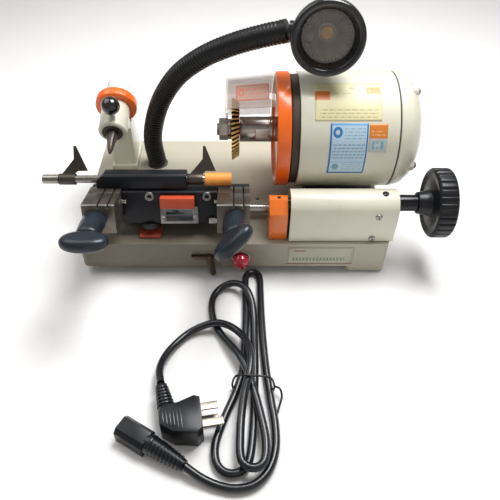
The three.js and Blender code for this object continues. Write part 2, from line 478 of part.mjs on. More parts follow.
const hankOutline = new THREE.CatmullRomCurve3([[8, -12], [24, -12], [33, -24], [34, -60], [33, -110], [33, -150],
  [35, -190], [32, -214], [14, -227], [-6, -227], [-20.6, -216], [-22.6, -203], [-7, -176], [1, -132], [-8, -100],
  [-22, -76], [-26, -46], [-14, -26], [0, -16]].map(([x, y]) => new THREE.Vector3(x, y, 0)), true, 'centripetal');
const hankShape = new THREE.Shape(hankOutline.getPoints(56).slice(0, 56).map((p) => new THREE.Vector2(p.x, p.y)));
piece('lead_hank', profileZ(hankShape, 0.2, 16), BLACK, 0.5);

const connectorGroup = new THREE.Group();   // local +Y runs from the socket face back along the lead
connectorGroup.position.set(-93, -175, 8);
connectorGroup.rotation.z = Math.atan2(-0.518, 0.855) - Math.PI / 2;
machine.add(connectorGroup);
function makeConnector() {
  const head = profileY([[-9, -7.7], [9, -7.7], [9, 3.5], [5.5, 7.7], [-5.5, 7.7], [-9, 3.5]], 0, 27);
  const relief = turned([[0, 26], [7.6, 26], [7.4, 38], [5.6, 54], [4.4, 61.5], [0, 61.5]], [0, 1, 0], [0, 0, 0], 16);
  const holes = [[-5, -2], [0, 2.4], [5, -2]].map(([x, z]) => box(x - 1.4, x + 1.4, -1, 18, z - 2.6, z + 2.6));
  return cut(join(head, relief), ...holes);
}
piece('inlet_connector', makeConnector(), BLACK, 0.4, 0, connectorGroup);

const plugGroup = new THREE.Group();        // plug lying on its side, blades along local +X
plugGroup.position.set(-46, -172, 0);
plugGroup.rotation.z = deg(10);
machine.add(plugGroup);
function makePlug() {
  const outline = new THREE.Shape([[-16, -6], [-6, -14], [12, -18], [17, -14], [17.5, 12], [13, 14], [0, 10],
    [-12, 9], [-16, 4]].map((p) => new THREE.Vector2(...p)));
  const body = profileZ(outline, 0.2, 24);
  const relief = turned([[0, 0], [7.6, 0], [6.8, 10], [5, 28], [0, 28]], [-0.12, 1, 0.05], [-9, 5, 13], 14);
  const blade = (y, z, w, h, l) => box(17, 17 + l, y - w / 2, y + w / 2, z - h / 2, z + h / 2);
  return join(body, relief, blade(7.5, 15, 6.4, 1.6, 14), blade(-7, 15, 6.4, 1.6, 17), blade(1, 5.5, 6.4, 1.6, 14));
}
piece('mains_plug', makePlug(), BLACK, 0.4, 0, plugGroup);

export default machine;
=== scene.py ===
import json
import math

import bmesh
import bpy
from mathutils import Matrix, Vector


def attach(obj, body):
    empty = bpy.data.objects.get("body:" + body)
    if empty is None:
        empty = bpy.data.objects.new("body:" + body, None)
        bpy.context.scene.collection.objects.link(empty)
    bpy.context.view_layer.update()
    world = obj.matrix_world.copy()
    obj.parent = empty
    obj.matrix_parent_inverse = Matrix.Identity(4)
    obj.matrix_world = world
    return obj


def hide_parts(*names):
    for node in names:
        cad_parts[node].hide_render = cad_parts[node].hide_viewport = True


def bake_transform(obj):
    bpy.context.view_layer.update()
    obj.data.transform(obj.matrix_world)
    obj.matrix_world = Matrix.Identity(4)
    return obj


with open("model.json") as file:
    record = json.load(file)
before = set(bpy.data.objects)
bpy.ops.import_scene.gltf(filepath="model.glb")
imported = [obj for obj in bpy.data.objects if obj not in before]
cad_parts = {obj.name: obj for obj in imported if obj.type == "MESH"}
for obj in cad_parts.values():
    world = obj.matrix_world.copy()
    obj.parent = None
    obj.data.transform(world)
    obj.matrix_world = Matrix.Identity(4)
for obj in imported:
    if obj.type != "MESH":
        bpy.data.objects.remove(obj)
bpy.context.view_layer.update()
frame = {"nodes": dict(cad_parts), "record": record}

# ---- places ---------------------------------------------------------------------------------------
# Lengths are in millimetres from the base's front edge, machine middle and bench, as in the CAD source.
OX, OY = 7.2, 55.37


def M(x, y, z):
    return Vector(((x - OX) / 1000, (y - OY) / 1000, z / 1000))


LEAN, PIVOT = math.radians(15.4), (42, 50.5)  # the carriage at rest, and its rod's y and z
TRACER, TRACER_LEAN = (-126.5, 63.3, 99.8), math.radians(15)  # the stylus tip and its slope
SPIN = (90.5, 112.5)  # the spindle's y and z


def shifted(matrix):
    return Matrix.Translation(M(0, 0, 0)) @ matrix


MACHINE = shifted(Matrix.Identity(4))
CARRIAGE = shifted(Matrix.Translation((0, PIVOT[0] / 1000, PIVOT[1] / 1000)) @ Matrix.Rotation(-LEAN, 4, "X"))
STYLUS = shifted(Matrix.Translation([v / 1000 for v in TRACER]) @ Matrix.Rotation(TRACER_LEAN, 4, "X"))
SPINDLE = shifted(Matrix.Translation((0, SPIN[0] / 1000, SPIN[1] / 1000)))
SCREW_LINE = shifted(Matrix.Translation((0, 0.021, 0.075)))

# ---- camera, floor, lights ------------------------------------------------------------------------
camera_data = bpy.data.cameras.new("camera")
camera_data.sensor_width = 36
camera_data.lens = 40.32  # the focal length is 560 pixels of a picture 500 wide
camera_data.shift_x = 0.024
camera_data.clip_start = 0.01
camera = bpy.data.objects.new("camera", camera_data)
bpy.context.collection.objects.link(camera)
camera.location = M(0, -391, 423)
camera.rotation_euler = (math.radians(45), 0, 0)
bpy.context.scene.camera = camera


def soft_light(name, location, energy, size, aim, colour=(1, 1, 1)):
    data = bpy.data.lights.new(name, "AREA")
    data.energy = energy
    data.color = colour
    data.shape = "RECTANGLE"
    data.size, data.size_y = size
    obj = bpy.data.objects.new(name, data)
    obj.location = M(*location)
    obj.rotation_euler = (M(*aim) - obj.location).to_track_quat("-Z", "Y").to_euler()
    bpy.context.collection.objects.link(obj)


soft_light("key_light", (220, 220, 830), 9.0, (0.46, 0.4), (20, 60, 40))
soft_light("top_light", (-420, 200, 620), 1.6, (0.5, 0.5), (0, 60, 60))
soft_light("fill_light", (260, -680, 330), 0.45, (0.9, 0.5), (0, 40, 60), (1, 0.88, 0.78))
world = bpy.data.worlds.new("studio")
bpy.context.scene.world = world
world.use_nodes = True
background = world.node_tree.nodes["Background"]
background.inputs["Color"].default_value = (1, 0.975, 0.94, 1)
background.inputs["Strength"].default_value = 0.29
bpy.context.scene.view_settings.view_transform = "Standard"

# ---- materials ------------------------------------------------------------------------------------


class Nodes:
    def __init__(self, name):
        self.material = bpy.data.materials.new(name)
        self.material.use_nodes = True
        self.tree = self.material.node_tree
        self.shader = self.tree.nodes["Principled BSDF"]
        self.where = self.tree.nodes.new("ShaderNodeTexCoord").outputs["Object"]

    def link(self, a, b):
        self.tree.links.new(a, b)

    def mapped(self, scale):
        node = self.tree.nodes.new("ShaderNodeMapping")
        node.inputs["Scale"].default_value = scale
        self.link(self.where, node.inputs["Vector"])
        return node.outputs[0]

    def noise(self, scale, detail=4, rough=0.55, stretch=(1, 1, 1)):
        node = self.tree.nodes.new("ShaderNodeTexNoise")
        node.inputs["Scale"].default_value = scale
        node.inputs["Detail"].default_value = detail
        node.inputs["Roughness"].default_value = rough
        self.link(self.mapped(stretch), node.inputs["Vector"])
        return node.outputs["Fac"]

    def ramp(self, value, stops):
        node = self.tree.nodes.new("ShaderNodeValToRGB")
        ramp = node.color_ramp
        while len(ramp.elements) < len(stops):
            ramp.elements.new(0.5)
        for element, (place, colour) in zip(ramp.elements, stops):
            element.position = place
            element.color = (*colour, 1)
        self.link(value, node.inputs[0])
        return node.outputs[0]

    def mix(self, factor, a, b):
        node = self.tree.nodes.new("ShaderNodeMix")
        node.data_type = "RGBA"
        self.link(factor, node.inputs[0])
        for socket, value in ((node.inputs[6], a), (node.inputs[7], b)):
            if isinstance(value, tuple):
                socket.default_value = (*value, 1)
            else:
                self.link(value, socket)
        return node.outputs[2]

    def math(self, kind, a, b=0.0):
        node = self.tree.nodes.new("ShaderNodeMath")
        node.operation = kind
        for socket, value in ((node.inputs[0], a), (node.inputs[1], b)):
            if isinstance(value, (int, float)):
                socket.default_value = value
            else:
                self.link(value, socket)
        return node.outputs[0]

    def times(self, a, b):
        return self.math("MULTIPLY", a, b)

    def plus(self, a, b):
        return self.math("ADD", a, b)

    def minus(self, a, b):
        return self.math("SUBTRACT", a, b)

    def below(self, a, b):
        return self.math("LESS_THAN", a, b)

    def above(self, a, b):
        return self.math("GREATER_THAN", a, b)

    def near(self, value, middle, reach):
        return self.below(self.math("ABSOLUTE", self.minus(value, middle)), reach)

    def axes(self, output):
        node = self.tree.nodes.new("ShaderNodeSeparateXYZ")
        self.link(output, node.inputs[0])
        return node.outputs["X"], node.outputs["Y"], node.outputs["Z"]

    def colour(self, tone):
        self.link(tone, self.shader.inputs["Base Color"])

    def bump(self, height, strength, distance=0.0004):
        node = self.tree.nodes.new("ShaderNodeBump")
        node.inputs["Strength"].default_value = strength
        node.inputs["Distance"].default_value = distance
        self.link(height, node.inputs["Height"])
        self.link(node.outputs[0], self.shader.inputs["Normal"])


BLACK, WHITE = (0, 0, 0), (1, 1, 1)


def shade(a, factor):
    return tuple(max(0, min(1, c * factor)) for c in a)


def surface(name, colour, rough, metal, grain, bump, spread, blotch=14, stretch=(1, 1, 1), coat=0, dirt=None,
            dull=None):
    """Painted, moulded or metal surface: uneven tone at two scales, fine grain in relief and uneven gloss.

    rough and metal are the shader's, grain the scale of the fine grain, bump its relief, spread the unevenness of
    the tone and blotch its scale; dirt is the colour of marks, and dull the specular level where it isn't the usual.
    """
    n = Nodes(name)
    large = n.noise(blotch, 3, 0.6)
    fine = n.noise(grain, 3, 0.6, stretch)
    tone = n.ramp(large, [(0.3, shade(colour, 1 - spread)), (0.7, shade(colour, 1 + spread))])
    if dirt:
        marks = n.ramp(n.noise(blotch * 3.1, 6, 0.75), [(0.52, BLACK), (0.74, WHITE)])
        tone = n.mix(n.times(marks, 0.55), tone, dirt)
    tone = n.mix(n.times(fine, 0.2), tone, shade(colour, 0.72))
    n.colour(tone)
    gloss = n.ramp(fine, [(0.25, (max(0.02, rough - 0.12),) * 3), (0.8, (min(1, rough + 0.12),) * 3)])
    n.link(gloss, n.shader.inputs["Roughness"])
    n.shader.inputs["Metallic"].default_value = metal
    if coat:
        n.shader.inputs["Coat Weight"].default_value = coat
        n.shader.inputs["Coat Roughness"].default_value = 0.12
    if dull:
        n.shader.inputs["Specular IOR Level"].default_value = dull
    n.bump(fine, bump, 0.0003)
    return n.material


def polished(name, stops, noise, rough, bump_noise, bump, **sockets):
    """Thin clear or polished surface: uneven tone, and the shader's other sockets by name."""
    n = Nodes(name)
    n.colour(n.ramp(n.noise(*noise), stops))
    n.shader.inputs["Roughness"].default_value = rough
    for socket, value in sockets.items():
        n.shader.inputs[socket.replace("_", " ")].default_value = value
    n.bump(n.noise(*bump_noise), bump)
    return n.material


cream = surface("cream_paint", (0.71, 0.69, 0.57), 0.36, 0, 1400, 0.1, 0.04, blotch=7, coat=0.3,
                dirt=(0.60, 0.565, 0.455))
black_paint = surface("black_enamel", (0.0055, 0.0068, 0.0105), 0.4, 0, 1600, 0.1, 0.3, dull=0.3)
black_plastic = surface("black_moulding", (0.007, 0.0075, 0.0095), 0.36, 0, 1900, 0.16, 0.3)
wheel_black = surface("wheel_bakelite", (0.006, 0.0075, 0.0105), 0.34, 0, 1500, 0.05, 0.3, dull=0.35)
slate = surface("slate_moulding", (0.012, 0.02, 0.031), 0.34, 0, 1500, 0.16, 0.22, blotch=30)
rubber = surface("black_rubber", (0.014, 0.014, 0.014), 0.75, 0, 1500, 0.35, 0.2)
orange = surface("orange_moulding", (0.90, 0.15, 0.008), 0.3, 0, 2400, 0.03, 0.07, coat=0.3, dirt=(0.72, 0.10, 0.008))
orange_paint = surface("orange_enamel", (0.86, 0.19, 0.02), 0.34, 0, 1300, 0.14, 0.1, coat=0.3,
                       dirt=(0.52, 0.085, 0.018))
sleeve_orange = surface("sleeve_orange", (0.93, 0.36, 0.065), 0.45, 0, 260, 0.25, 0.06, stretch=(0.05, 1, 1))
red_block = surface("red_moulding", (0.50, 0.062, 0.02), 0.48, 0, 700, 0.3, 0.16, blotch=60)
red_pad = surface("red_rubber", (0.46, 0.07, 0.03), 0.7, 0, 900, 0.4, 0.2)
ruby = surface("ruby_button", (0.40, 0.012, 0.035), 0.14, 0, 2600, 0.005, 0.06, coat=0.7)
white_cap = surface("white_moulding", (0.80, 0.79, 0.75), 0.32, 0, 900, 0.06, 0.03, coat=0.2)
dark_cast = surface("dark_casting", (0.055, 0.042, 0.034), 0.6, 0.15, 700, 0.6, 0.25)
# ground steel made extra bright: a real chamfer with a painted highlight line
edge_highlight_steel = surface("ground_edge_highlight", (0.78, 0.74, 0.68), 0.38, 0.8, 2600, 0.02, 0.08)
arbor_steel = surface("arbor_steel", (0.50, 0.465, 0.43), 0.24, 1, 3000, 0.02, 0.1)
badge_steel = surface("badge_steel", (0.24, 0.235, 0.235), 0.36, 0.9, 3600, 0.03, 0.15)
bright = surface("bright_steel", (0.46, 0.445, 0.42), 0.26, 1, 500, 0.04, 0.12, stretch=(0.03, 1, 1))
turned_steel = surface("turned_steel", (0.33, 0.305, 0.275), 0.24, 1, 1100, 0.04, 0.15, stretch=(1, 0.04, 0.04))
clamp_steel = surface("clamp_steel", (0.175, 0.15, 0.125), 0.4, 0.85, 1100, 0.2, 0.25, stretch=(0.06, 1, 1),
                      dirt=(0.06, 0.048, 0.038))
blued = surface("blued_steel", (0.075, 0.064, 0.053), 0.42, 0.8, 900, 0.25, 0.3)
black_steel = surface("black_steel", (0.03, 0.03, 0.032), 0.25, 0.85, 800, 0.12, 0.25, stretch=(0.05, 1, 1))
bronze = surface("bronze_steel", (0.085, 0.052, 0.033), 0.42, 0.6, 800, 0.4, 0.3)
zinc = surface("zinc_plate", (0.40, 0.385, 0.36), 0.3, 1, 3200, 0.03, 0.15)
# flat black: painted shade in holes, slots, sockets and screw recesses, and the real dark joint of the seams
shade_and_seam_black = surface("recess_shade_and_seam", (0.006, 0.006, 0.007), 0.8, 0, 500, 0.2, 0.2)
cord_black = surface("cord_sheath", (0.0055, 0.0075, 0.011), 0.3, 0, 2400, 0.02, 0.2, coat=0.15)
copper = surface("windings", (0.32, 0.11, 0.035), 0.4, 0.7, 600, 0.4, 0.3)
laminate = surface("laminations", (0.16, 0.13, 0.11), 0.5, 0.7, 1600, 0.6, 0.2, stretch=(1, 0.02, 0.02))
plug_black = surface("plug_moulding", (0.0055, 0.0072, 0.0105), 0.34, 0, 2400, 0.04, 0.2, dull=0.3)
pin_metal = surface("pin_metal", (0.21, 0.19, 0.16), 0.33, 0.9, 3000, 0.02, 0.1)
floor_white = surface("floor_paper", (0.93, 0.93, 0.93), 0.85, 0, 300, 0.03, 0.01)

floor_mesh = bpy.data.meshes.new("floor")
floor_mesh.from_pydata([(-6, -6, 0), (6, -6, 0), (6, 6, 0), (-6, 6, 0)], [], [(0, 1, 2, 3)])
floor = bpy.data.objects.new("floor", floor_mesh)
floor.data.materials.append(floor_white)
bpy.context.collection.objects.link(floor)
floor.location.z = -0.0002

# ---- piece helpers --------------------------------------------------------------------------------
OWNER = {node: body for body, nodes in frame["record"]["behaviour"]["bodies"].items() for node in nodes}


def new_object(name, mesh, place=None):
    obj = bpy.data.objects.new(name, mesh)
    bpy.context.collection.objects.link(obj)
    if place is not None:
        mesh.transform(place)
    return obj


def smooth(obj, angle=35):
    obj.data.polygons.foreach_set("use_smooth", [True] * len(obj.data.polygons))
    obj.data.set_sharp_from_angle(angle=math.radians(angle))


def apply_modifiers(obj):
    graph = bpy.context.evaluated_depsgraph_get()
    mesh = bpy.data.meshes.new_from_object(obj.evaluated_get(graph))
    obj.modifiers.clear()
    obj.data = mesh


def settle(obj, node=None, body=None, material=None):
    """Joins a finished piece to its body; with a node it stands for that CAD node."""
    if material is not None:
        indices = [p.material_index for p in obj.data.polygons]
        obj.data.materials.clear()
        for m in material if isinstance(material, (list, tuple)) else [material]:
            obj.data.materials.append(m)
        obj.data.polygons.foreach_set("material_index", indices)
    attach(obj, body or OWNER[node])
    if node:
        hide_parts(node)
    return obj


def bevel(obj, width, segments=2, angle=32):
    mod = obj.modifiers.new("edge", "BEVEL")
    mod.width = width / 1000
    mod.segments = segments
    mod.limit_method = "ANGLE"
    mod.angle_limit = math.radians(angle)
    apply_modifiers(obj)


def from_node(node, material, width=0.5, segments=2, name=None, angle=32):
    """The node's own shape with flat faces merged and every edge eased."""
    mesh = frame["nodes"][node].data.copy()
    obj = new_object(name or node + "_shape", mesh)
    bm = bmesh.new()
    bm.from_mesh(mesh)
    bmesh.ops.remove_doubles(bm, verts=bm.verts, dist=2e-5)
    bmesh.ops.dissolve_limit(bm, angle_limit=math.radians(1.5), verts=bm.verts, edges=bm.edges)
    bm.to_mesh(mesh)
    bm.free()
    if mesh.has_custom_normals:
        bpy.context.view_layer.objects.active = obj
        bpy.ops.mesh.customdata_custom_splitnormals_clear()
    if width:
        bevel(obj, width, segments, angle)
    smooth(obj)
    return settle(obj, node, material=material)


def mesh_of(bm, name):
    bmesh.ops.recalc_face_normals(bm, faces=bm.faces)
    mesh = bpy.data.meshes.new(name)
    bm.to_mesh(mesh)
    bm.free()
    return mesh


def polar(x, r, a):
    """Point in metres at x and radius r (mm), turned by a about the X axis."""
    return x / 1000, r * math.cos(a) / 1000, r * math.sin(a) / 1000


def loft(bm, rings, caps=True):
    """Quads between closed rings of vertices, and a face over each end."""
    for one, two in zip(rings, rings[1:]):
        for i in range(len(one)):
            j = (i + 1) % len(one)
            bm.faces.new((one[i], one[j], two[j], two[i]))
    if caps:
        bm.faces.new(rings[0])
        bm.faces.new(list(reversed(rings[-1])))


def thicken(obj, thickness):
    mod = obj.modifiers.new("thick", "SOLIDIFY")
    mod.thickness = thickness / 1000
    mod.offset = 1
    apply_modifiers(obj)


def lathe_bm(bm, profile, segments=72, mat=0, ripple=None):
    """Ring of profile points (radius, along X) in mm about the local X axis."""
    rings = []
    for r, x in profile:
        if r < 1e-6:
            rings.append([bm.verts.new((x / 1000, 0, 0))])
            continue
        ring = []
        for i in range(segments):
            a = 2 * math.pi * i / segments
            rr = r + (ripple(a, x, r) if ripple else 0)
            ring.append(bm.verts.new(polar(x, rr, a)))
        rings.append(ring)
    for one, two in zip(rings, rings[1:]):
        for i in range(segments):
            j = (i + 1) % segments
            if len(one) == 1 and len(two) == 1:
                continue
            if len(one) == 1:
                face = bm.faces.new((one[0], two[j], two[i]))
            elif len(two) == 1:
                face = bm.faces.new((one[i], one[j], two[0]))
            else:
                face = bm.faces.new((one[i], one[j], two[j], two[i]))
            face.material_index = mat


def rounded(profile, radius, steps=3, closed=False):
    """Profile with its inner corners eased by short arcs."""
    out = []
    count = len(profile)
    for i, p in enumerate(profile):
        if not closed and i in (0, count - 1):
            out.append(p)
            continue
        a, b = profile[i - 1], profile[(i + 1) % count]
        va = (a[0] - p[0], a[1] - p[1])
        vb = (b[0] - p[0], b[1] - p[1])
        la, lb = math.hypot(*va), math.hypot(*vb)
        d = min(radius, la * 0.45, lb * 0.45)
        pa = (p[0] + va[0] / la * d, p[1] + va[1] / la * d)
        pb = (p[0] + vb[0] / lb * d, p[1] + vb[1] / lb * d)
        for k in range(steps + 1):
            t = k / steps
            out.append(tuple((1 - t) ** 2 * pa[n] + 2 * t * (1 - t) * p[n] + t * t * pb[n] for n in (0, 1)))
    return out


def turned(name, profile, place, material, node=None, body=None, segments=72, ease=0.5, ripple=None,
           closed=False):
    bm = bmesh.new()
    outline = rounded(profile, ease, closed=closed) if ease else list(profile)
    if closed:
        outline.append(outline[0])
    lathe_bm(bm, outline, segments, ripple=ripple)
    bmesh.ops.remove_doubles(bm, verts=bm.verts, dist=1e-7)
    obj = new_object(name, mesh_of(bm, name), place)
    smooth(obj)
    return settle(obj, node, body, material)


def lathed_mesh(name, outline, segments, place, ripple=None):
    bm = bmesh.new()
    lathe_bm(bm, outline, segments, ripple=ripple)
    mesh = mesh_of(bm, name)
    mesh.transform(place)
    return mesh


def box_bm(bm, x0, x1, y0, y1, z0, z1, mat=0):
    made = bmesh.ops.create_cube(bm, size=1)["verts"]
    for v in made:
        v.co = Vector(((x0 + x1) / 2 + v.co.x * (x1 - x0), (y0 + y1) / 2 + v.co.y * (y1 - y0),
                       (z0 + z1) / 2 + v.co.z * (z1 - z0))) / 1000
    for face in {f for v in made for f in v.link_faces}:
        face.material_index = mat
    return made


def block(name, x0, x1, y0, y1, z0, z1, place, material, body, width=0.5, node=None):
    bm = bmesh.new()
    box_bm(bm, x0, x1, y0, y1, z0, z1)
    obj = new_object(name, mesh_of(bm, name), place)
    bevel(obj, width)
    smooth(obj)
    return settle(obj, node, body, material)


def within(place, point, direction, turn=0.0):
    """Local frame at a point (mm) of a placed frame, its X axis along direction."""
    rotation = Vector((1, 0, 0)).rotation_difference(Vector(direction).normalized()).to_matrix().to_4x4()
    return place @ Matrix.Translation(Vector(point) / 1000) @ rotation @ Matrix.Rotation(turn, 4, "X")


def facing(point, direction):
    """The same at a machine point."""
    return within(MACHINE, point, direction)


def screw_head(name, place, radius, height, body, kind="cross", material=None):
    """Round head standing from local x = 0, plain or with a cross recess drawn as black bars of painted shade."""
    bm = bmesh.new()
    profile = [(0, height), (radius * 0.5, height * 0.97), (radius * 0.85, height * 0.75), (radius, height * 0.3),
               (radius, 0), (0, 0)]
    lathe_bm(bm, profile, 24)
    # the cross recess is two black bars in the dome: painted shade
    if kind == "cross":
        for turn in (0, math.pi / 2):
            verts = box_bm(bm, height * 0.55, height * 1.02, -radius * 0.62, radius * 0.62, -radius * 0.11,
                           radius * 0.11, 1)
            bmesh.ops.rotate(bm, verts=verts, cent=(0, 0, 0), matrix=Matrix.Rotation(turn + 0.4, 3, "X"))
    obj = new_object(name, mesh_of(bm, name), place)
    smooth(obj, 40)
    return settle(obj, None, body, [material or zinc, shade_and_seam_black])


def between(a, b, start, end, t):
    return a * ((end - t) / (end - start)) + b * ((t - start) / (end - start))


def spline_points(points, step):
    """Centripetal Catmull-Rom line through points, resampled evenly at about step."""
    pts = [Vector(p) for p in points]
    ext = [pts[0] * 2 - pts[1]] + pts + [pts[-1] * 2 - pts[-2]]
    dense = []
    for i in range(1, len(ext) - 2):
        p = ext[i - 1:i + 3]
        knots = [0]
        for one, two in zip(p, p[1:]):
            knots.append(knots[-1] + max(1e-6, (two - one).length) ** 0.5)
        for k in range(40):
            t = knots[1] + (knots[2] - knots[1]) * k / 40
            level = p
            for reach in (1, 2):
                level = [between(level[m], level[m + 1], knots[m], knots[m + reach], t) for m in range(len(level) - 1)]
            dense.append(between(level[0], level[1], knots[1], knots[2], t))
    dense.append(pts[-1])
    lengths = [0]
    for a, b in zip(dense, dense[1:]):
        lengths.append(lengths[-1] + (b - a).length)
    count = max(2, round(lengths[-1] / step))
    out = []
    j = 0
    for k in range(count + 1):
        want = lengths[-1] * k / count
        while j < len(lengths) - 2 and lengths[j + 1] < want:
            j += 1
        span = lengths[j + 1] - lengths[j] or 1
        out.append(dense[j].lerp(dense[j + 1], (want - lengths[j]) / span))
    return out, lengths[-1]


def sweep(name, points, radii, sides):
    """Tube along points (metres), one radius (metres) for each."""
    bm = bmesh.new()
    side = None
    rings = []
    for i, p in enumerate(points):
        tangent = (points[min(i + 1, len(points) - 1)] - points[max(i - 1, 0)]).normalized()
        if side is None:
            side = tangent.cross(Vector((0.1, 0.2, 1))).normalized()
        side = (side - tangent * side.dot(tangent)).normalized()
        up = tangent.cross(side)
        rings.append([bm.verts.new(p + (side * math.cos(2 * math.pi * k / sides) + up * math.sin(
            2 * math.pi * k / sides)) * radii[i]) for k in range(sides)])
    loft(bm, rings)
    obj = new_object(name, mesh_of(bm, name))
    smooth(obj, 50)
    return obj


# ---- loose power lead -----------------------------------------------------------------------------
CORD_ROUTE = [
    (-40.2, -207.4, 8), (-34, -211.5, 7), (-27, -215.4, 5.2), (-15, -220.2, 3.9), (-2, -222.5, 3.7),
    (12, -219.5, 3.7), (23, -209, 3.7), (29, -193, 3.7), (30, -172, 3.7), (27.5, -149, 3.7), (24.6, -120, 3.7),
    (23, -90, 3.7), (22.2, -60, 3.7), (22, -30, 3.7), (21.9, -13, 3.7), (20.8, -8, 3.7), (18.2, -4.7, 3.7),
    (14.7, -3.6, 3.7), (11.2, -4.7, 3.7), (8.6, -8, 3.7), (7.5, -13, 3.7), (7.4, -30, 3.7), (7.4, -60, 3.7),
    (6.2, -90, 3.7), (4, -120, 3.7), (-2.5, -143, 3.7), (-11, -165, 3.7), (-17.6, -187, 3.7), (-17.9, -197.5, 3.7),
    (-15.8, -204.5, 3.7), (-11, -209.4, 3.7), (-4.2, -211.2, 3.7), (2.6, -209, 3.7), (7.4, -203.6, 3.7),
    (9.8, -195, 3.7), (12.5, -170, 3.7), (14, -140, 3.7), (14.9, -110, 3.7), (14.8, -80, 3.7), (14.6, -58, 5.4),
    (12, -42, 9.6), (5.5, -29, 11.2), (-5, -22.8, 8.4), (-16.5, -25.5, 4.6), (-23.6, -36, 3.7), (-25.2, -51, 3.7),
    (-22, -68, 3.7), (-14.5, -83, 4.2), (-6, -97, 7.6), (2, -111, 10.9), (8.6, -127, 11), (13.5, -145, 11),
    (18, -165, 11), (21.5, -186, 11), (21.2, -199.5, 11), (19.6, -205, 11), (16, -208.6, 11), (11.3, -209.8, 11),
    (6.6, -208.4, 11), (3.1, -204.8, 11), (1.7, -199, 11), (1.6, -187, 11), (2.6, -168, 11.4), (5.2, -148, 14.4),
    (9.6, -131, 17.9), (11, -114, 18), (7.5, -97.5, 15.4), (0.5, -84.5, 11.6), (-9, -76.6, 10.9),
    (-19.5, -73.6, 10.9), (-31, -74.3, 7.6), (-45, -80.5, 4.4), (-57, -93.5, 4.4), (-64.6, -109, 7.6),
    (-67, -125, 11.8), (-64.4, -139.4, 14.4),
]
cord_points, cord_length = spline_points([M(*p) for p in CORD_ROUTE], 0.0028)
cord_curve = bpy.data.curves.new("power_lead", "CURVE")
cord_curve.dimensions = "3D"
cord_curve.bevel_depth = 0.0034
cord_curve.bevel_resolution = 5
cord_curve.use_fill_caps = True
cord_line = cord_curve.splines.new("POLY")
cord_line.points.add(len(cord_points) - 1)
for point, co in zip(cord_line.points, cord_points):
    point.co = (*co, 1)
cord_line.use_smooth = True
power_lead = bpy.data.objects.new("power_lead", cord_curve)
bpy.context.collection.objects.link(power_lead)
cord_curve.materials.append(cord_black)
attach(power_lead, "frame")
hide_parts("lead_hank", "lead_plug_end", "lead_connector_end")

# ---- base -----------------------------------------------------------------------------------------


def deck_with_painted_shade():
    """Cream paint darkened by a brown painted shade over the front left of the deck."""
    n = Nodes("deck_cream_painted_shade")
    along_x, along_y, _ = n.axes(n.where)
    fine = n.noise(1400, 3, 0.6)
    clean = n.ramp(n.noise(8, 3, 0.6), [(0.3, (0.50, 0.47, 0.37)), (0.7, (0.56, 0.525, 0.42))])
    # painted shade: the dark brown tone that the front and left masks below lay over the deck
    shadow_tone = n.ramp(n.noise(30, 5, 0.7), [(0.3, (0.072, 0.052, 0.037)), (0.7, (0.122, 0.094, 0.068))])
    ragged = n.plus(along_y, n.times(n.noise(14, 4, 0.6), 0.02))
    front = n.ramp(n.times(n.plus(ragged, 0.065), 6.0), [(0.2, WHITE), (0.8, BLACK)])
    left = n.ramp(n.times(n.plus(along_x, 0.17), 3.4), [(0.42, WHITE), (0.86, (0.25, 0.25, 0.25))])
    tone = n.mix(n.times(n.times(front, left), 0.9), clean, shadow_tone)
    n.colour(n.mix(n.times(fine, 0.2), tone, (0.35, 0.32, 0.25)))
    n.link(n.ramp(fine, [(0.25, (0.32,) * 3), (0.8, (0.55,) * 3)]), n.shader.inputs["Roughness"])
    n.shader.inputs["Coat Weight"].default_value = 0.15
    n.bump(fine, 0.1)
    return n.material


from_node("base_casting", deck_with_painted_shade(), 1.1, 3, angle=40)
for number in range(1, 5):
    from_node(f"rubber_foot_{number}", rubber, 0.5)


def plate_material():
    """Pale plate with a row of plain strokes and one small red bar."""
    n = Nodes("name_plate_print")
    x, _, z = n.axes(n.where)
    paper = n.ramp(n.noise(30, 4), [(0.3, (0.40, 0.40, 0.31)), (0.7, (0.50, 0.49, 0.39))])
    strokes = n.above(n.math("SINE", n.times(x, 1850)), -0.35)
    row = n.times(n.times(n.near(z, 0.0190, 0.0021), n.near(x, 0.0735, 0.026)), strokes)
    bar = n.times(n.near(z, 0.0303, 0.0012), n.near(x, 0.0545, 0.006))
    tone = n.mix(n.times(row, 0.75), paper, (0.10, 0.20, 0.10))
    n.colour(n.mix(n.times(bar, 0.7), tone, (0.32, 0.10, 0.05)))
    n.shader.inputs["Roughness"].default_value = 0.4
    n.bump(n.noise(900), 0.1)
    return n.material


# plain printed plate in the recessed name panel
block("name_plate", 50.5, 112.5, 0.25, 0.72, 13.6, 34.2, MACHINE, plate_material(), "frame", 0.2)

# ---- motor ----------------------------------------------------------------------------------------
turned("motor_shell_turned", [(52, 57), (56, 57), (56, 147), (52, 147)], SPINDLE, cream, "motor_shell", segments=96,
       ease=0.9, closed=True)
turned("front_bell_turned", [(8, 44.3), (22, 44.3), (22, 49.6), (53, 49.6), (53, 56.7), (17.4, 56.7), (17.4, 47),
                             (8, 47)], SPINDLE, dark_cast, "motor_front_bell", segments=96, ease=0.6, closed=True)
rear_profile = [(0, 166.5), (17.4, 166.5), (17.4, 156), (21, 156), (21, 165), (28, 164.5), (38, 161), (47, 154),
                (51.7, 147.9), (55.7, 147.9), (55.6, 153), (53.2, 160), (47.5, 166.5), (38.5, 171.4), (26, 174.2),
                (14, 175.2), (12.5, 173.9), (0, 173.9)]
turned("rear_bell_turned", rear_profile, SPINDLE, cream, "motor_rear_bell", segments=96, ease=1.6)
